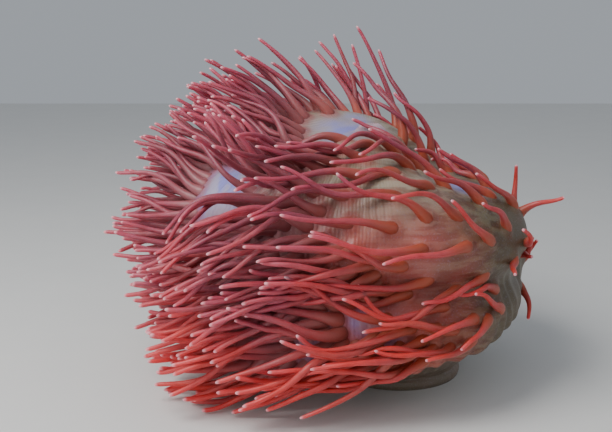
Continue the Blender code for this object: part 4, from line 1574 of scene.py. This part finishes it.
@dataclass
class TentacleCoat:
    """All tentacles, in one piece for each lobe of the disc."""

    form: DiscForm
    growth: TentacleGrowth
    lines: Array
    finish: TentacleFinish
    sides: int = 6
    fullness: float = 1.149
    stations: Span = (
        -0.030, 0.0, 0.045, 0.10, 0.18, 0.28, 0.40, 0.52, 0.64, 0.76, 0.87, 0.94, 0.975, 0.994
    )
    flare: float = 0.0014
    flare_share: float = 0.045
    bulb: float = 0.20
    bulb_place: float = 0.955
    bulb_share: float = 0.030
    low_left_swelling: float = 0.22
    tip_rounding: Pair = (0.86, 0.48)
    side_hint: Triple = (0.31, 0.87, 0.38)
    cell_margin: Pair = (0.08, 0.02)
    cell_shape: float = 3.5
    wall_map: Pair = (0.03, 0.97)
    end_maps: Pair = (0.015, 0.985)
    end_size: Pair = (0.4, 0.012)

    def __post_init__(self) -> None:
        """Mix the one finish that all the tentacles wear."""
        self.material = self.finish.material()

    def radius(self, share: Array) -> Array:
        """Radius along a tentacle, with its flared root and the slight swelling near its tip.

        Args:
            share: shares of the way from root to tip, less than nothing under the skin.

        Returns:
            The radius at each share.
        """
        share = np.asarray(share, dtype=float)
        flare = self.flare * bell(np.maximum(share, 0.0), self.flare_share)
        swelling = 1 + self.bulb * bell(share - self.bulb_place, self.bulb_share)
        return (self.growth.radius(np.maximum(share, 0.0)) + flare) * swelling

    def pattern(self) -> bpy.types.Mesh:
        """One straight tentacle, as wide as it will be and 1 high, closed at both ends.

        Returns:
            Its mesh.
        """
        shape = bmesh.new()
        radii = self.radius(self.stations) * self.fullness
        radii[-2:] *= self.tip_rounding
        bmesh.ops.create_circle(shape, cap_ends=False, segments=self.sides, radius=radii[0])
        bmesh.ops.translate(shape, vec=(0.0, 0.0, self.stations[0]), verts=shape.verts)
        rim = shape.edges[:]
        for k in range(1, len(self.stations)):
            raised = bmesh.ops.extrude_edge_only(shape, edges=rim)["geom"]
            rim = [item for item in raised if isinstance(item, bmesh.types.BMEdge)]
            verts = [item for item in raised if isinstance(item, bmesh.types.BMVert)]
            grown = radii[k] / radii[k - 1]
            bmesh.ops.scale(shape, vec=(grown, grown, 1.0), verts=verts)
            bmesh.ops.translate(shape, vec=(0.0, 0.0, self.stations[k] - self.stations[k - 1]), verts=verts)
        bmesh.ops.holes_fill(shape, edges=[edge for edge in shape.edges if edge.is_boundary], sides=0)
        bmesh.ops.recalc_face_normals(shape, faces=shape.faces)
        self.unwrap(shape)
        return to_mesh(shape, "tentacle_pattern")

    def unwrap(self, shape: bmesh.types.BMesh) -> None:
        """Unroll the pattern: round it across the map, root to tip up it, its ends as small discs.

        Args:
            shape: the straight tentacle.
        """
        layer = shape.loops.layers.uv.new(BAKE_MAP)
        low, high = self.stations[0], self.stations[-1]
        start, end = self.wall_map
        wide, tall = self.end_size
        for face in shape.faces:
            turns = [math.atan2(loop.vert.co.y, loop.vert.co.x) / TURN % 1.0 for loop in face.loops]
            for loop, turn in zip(face.loops, turns):
                share = (loop.vert.co.z - low) / (high - low)
                if len(face.verts) == self.sides:
                    middle = self.end_maps[share > 0.5]
                    place = (0.5 + wide * math.cos(TURN * turn), middle + tall * math.sin(TURN * turn))
                else:
                    across = turn + 1.0 if max(turns) - turn > 0.5 else turn
                    place = (across, start + (end - start) * share)
                loop[layer].uv = place

    def centre_lines(self, lines: Array, shares: Array) -> tuple[Array, Array, Array]:
        """Places on the lines at each share, with two directions across them.

        Args:
            lines: centre lines as tentacle, step and xyz.
            shares: shares of the way from root to tip, less than nothing under the skin.

        Returns:
            Places, sideways directions and upward directions, each as tentacle, share and xyz.
        """
        known = np.concatenate(((self.stations[0],), np.linspace(0.0, 1.0, lines.shape[1])))
        length = np.linalg.norm(np.diff(lines, axis=1), axis=-1).sum(axis=1)
        buried = lines[:, 0] + self.form.normal(lines[:, 0]) * (self.stations[0] * length)[:, None]
        whole = np.concatenate((buried[:, None], lines), axis=1)
        after = np.clip(np.searchsorted(known, shares, side="right"), 1, len(known) - 1)
        part = ((shares - known[after - 1]) / (known[after] - known[after - 1]))[None, :, None]
        places = whole[:, after - 1] * (1 - part) + whole[:, after] * part
        heading = unit(np.gradient(places, shares, axis=1))
        side = unit(np.cross(heading[:, 0], self.side_hint))
        sides = []
        for k in range(len(shares)):
            side = unit(side - dots(side, heading[:, k]) * heading[:, k])
            sides.append(side)
        across = np.stack(sides, axis=1)
        return places, across, np.cross(heading, across)

    def build_lobe(self, lobe: Lobe, pattern: bpy.types.Mesh, lines: Array, tints: Array) -> bpy.types.Object:
        """The tentacles of one lobe as one piece.

        Args:
            lobe: the lobe that they stand on.
            pattern: one straight tentacle.
            lines: their centre lines.
            tints: a number from 0 to 1 for each, that shifts its colour.

        Returns:
            The piece, dressed and riding on the body.
        """
        shape = bmesh.new()
        for _ in range(len(lines)):
            shape.from_mesh(pattern)
        mesh = to_mesh(shape, "tentacles_" + lobe.value)
        straight = points_of(pattern)
        shares, station = np.unique(np.round(straight[:, 2], 5), return_inverse=True)
        places, across, upward = self.centre_lines(lines, shares)
        thickness = 1 + self.low_left_swelling * LOW_LEFT.share(lines[:, 0])[:, None, None]
        aside = across[:, station] * straight[None, :, :1] + upward[:, station] * straight[None, :, 1:2]
        bent = places[:, station] + thickness * aside
        bent[..., 2] = np.maximum(bent[..., 2], self.growth.floor_clearance / 2)
        along = np.tile(np.clip(shares[station], 0, 1), len(lines))
        give_marks(mesh, {"along": along, "tint": np.repeat(tints, len(straight))})
        self.spread_map(mesh, len(lines))
        coat = dress(mesh, bent, self.material)
        smooth = coat.modifiers.new("Rounded", "SUBSURF")
        smooth.levels = 1
        smooth.render_levels = 1
        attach(coat, "root")
        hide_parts("lobe_" + lobe.value)
        return coat

    def spread_map(self, mesh: bpy.types.Mesh, count: int) -> None:
        """Give each tentacle its own cell of the map, so that no two share a colour.

        Args:
            mesh: the tentacles of one lobe, each laid on the whole map.
            count: how many they are.
        """
        columns = math.ceil(math.sqrt(count * self.cell_shape))
        size = np.array((columns, math.ceil(count / columns)))
        layer = mesh.uv_layers[BAKE_MAP]
        flat = np.empty(len(layer.data) * 2, dtype=np.float32)
        layer.data.foreach_get("uv", flat)
        index = np.arange(count)
        corner = np.stack((index % columns, index // columns), axis=-1)[:, None]
        room = np.array(self.cell_margin)
        cells = (corner + room + flat.reshape(count, -1, 2) * (1 - 2 * room)) / size
        layer.data.foreach_set("uv", cells.astype(np.float32).ravel())

    def build(self) -> list[bpy.types.Object]:
        """Make the tentacles of every lobe.

        Returns:
            One piece for each lobe.
        """
        pattern = self.pattern()
        roots = self.lines[:, 0]
        angle = TURN / len(Lobe)
        number = ((self.form.azimuth(roots) + angle / 2) % TURN // angle).astype(int)
        tints = np.random.default_rng(self.growth.seed + 1).random(len(roots))
        order = np.argsort(np.arccos(unit(roots - self.form.centre)[:, 2]), kind="stable")
        coats = []
        for place, lobe in enumerate(Lobe):
            own = order[number[order] == place]
            coats.append(self.build_lobe(lobe, pattern, self.lines[own], tints[own]))
        bpy.data.meshes.remove(pattern)
        return coats


# ---------------------------------------------------------------- the studio


@dataclass(frozen=True)
class SoftLight:
    """A square soft light that looks at the animal."""

    name: str
    place: Triple
    size: float
    power: float
    colour: Triple

    def build(self, target: Triple) -> None:
        """Hang the light.

        Args:
            target: the place that it looks at.
        """
        lamp = bpy.data.lights.new(self.name, "AREA")
        lamp.size = self.size
        lamp.energy = self.power
        lamp.color = self.colour
        thing = put(self.name, lamp)
        thing.location = self.place
        thing.rotation_euler = (Vector(target) - thing.location).to_track_quat("-Z", "Y").to_euler()


@dataclass
class Studio:
    """Pale floor, soft light from above and the camera."""

    floor_size: float = 4.0
    lens: float = 60.0
    target: Triple = (-0.080, 0.0, 0.138)
    elevation: float = 13.0
    distance: float = 0.88
    sky: Triple = (0.86, 0.92, 1.0)
    sky_strength: float = 0.42
    light_target: Triple = (0.0, 0.0, 0.10)
    lights: tuple[SoftLight, ...] = (
        SoftLight("overhead", (-0.60, -0.45, 1.05), 0.6, 12.5, (1.0, 0.985, 0.96)),
        SoftLight("front_fill", (-0.8, -1.1, 0.55), 1.0, 5.0, (1.0, 0.96, 0.94)),
        SoftLight("right_fill", (1.1, -0.3, 0.6), 0.8, 0.8, (0.94, 0.98, 1.0)),
    )

    def floor(self) -> None:
        """Lay the floor that the animal stands on."""
        shape = bmesh.new()
        bmesh.ops.create_grid(shape, x_segments=4, y_segments=4, size=self.floor_size / 2)
        mesh = to_mesh(shape, "floor")
        mesh.materials.append(FloorFinish().material())
        floor = put("floor", mesh)

    def camera(self) -> None:
        """Set up the camera."""
        lens = bpy.data.cameras.new("camera")
        lens.lens = self.lens
        camera = put("camera", lens)
        rise = math.radians(self.elevation)
        back = Vector((0.0, -math.cos(rise), math.sin(rise)))
        camera.location = Vector(self.target) + back * self.distance
        camera.rotation_euler = (-back).to_track_quat("-Z", "Y").to_euler()
        bpy.context.scene.camera = camera

    def build(self) -> None:
        """Set up the floor, the lights, the sky and the camera."""
        self.floor()
        for light in self.lights:
            light.build(self.light_target)
        world = bpy.data.worlds.new("soft_sky")
        world.use_nodes = True
        sky = world.node_tree.nodes["Background"]
        sky.inputs["Color"].default_value = (*self.sky, 1.0)
        sky.inputs["Strength"].default_value = self.sky_strength
        bpy.context.scene.world = world
        self.camera()


def main() -> None:
    """Build the animal's looks and the studio round it."""
    logging.basicConfig(level=logging.INFO, format="%(message)s")
    form = DiscForm.over_frame()
    log.info("disc with %s", ", ".join(fold.name for fold in form.folds))
    log.info("tentacles part at %s", ", ".join(parting.name for parting in form.partings))
    growth = TentacleGrowth(form)
    lines = growth.grow()
    log.info("%d tentacles grown", len(lines))
    skin = Skin(form, lines[:, 0]).build()
    log.info("%s: %d faces", skin.name, len(skin.data.polygons))
    for coat in TentacleCoat(form, growth, lines, TentacleFinish()).build():
        log.info("%s: %d faces", coat.name, len(coat.data.polygons))
    studio = Studio()
    studio.build()
    log.info("studio: %d lights", len(studio.lights))


if __name__ == "__main__":
    main()
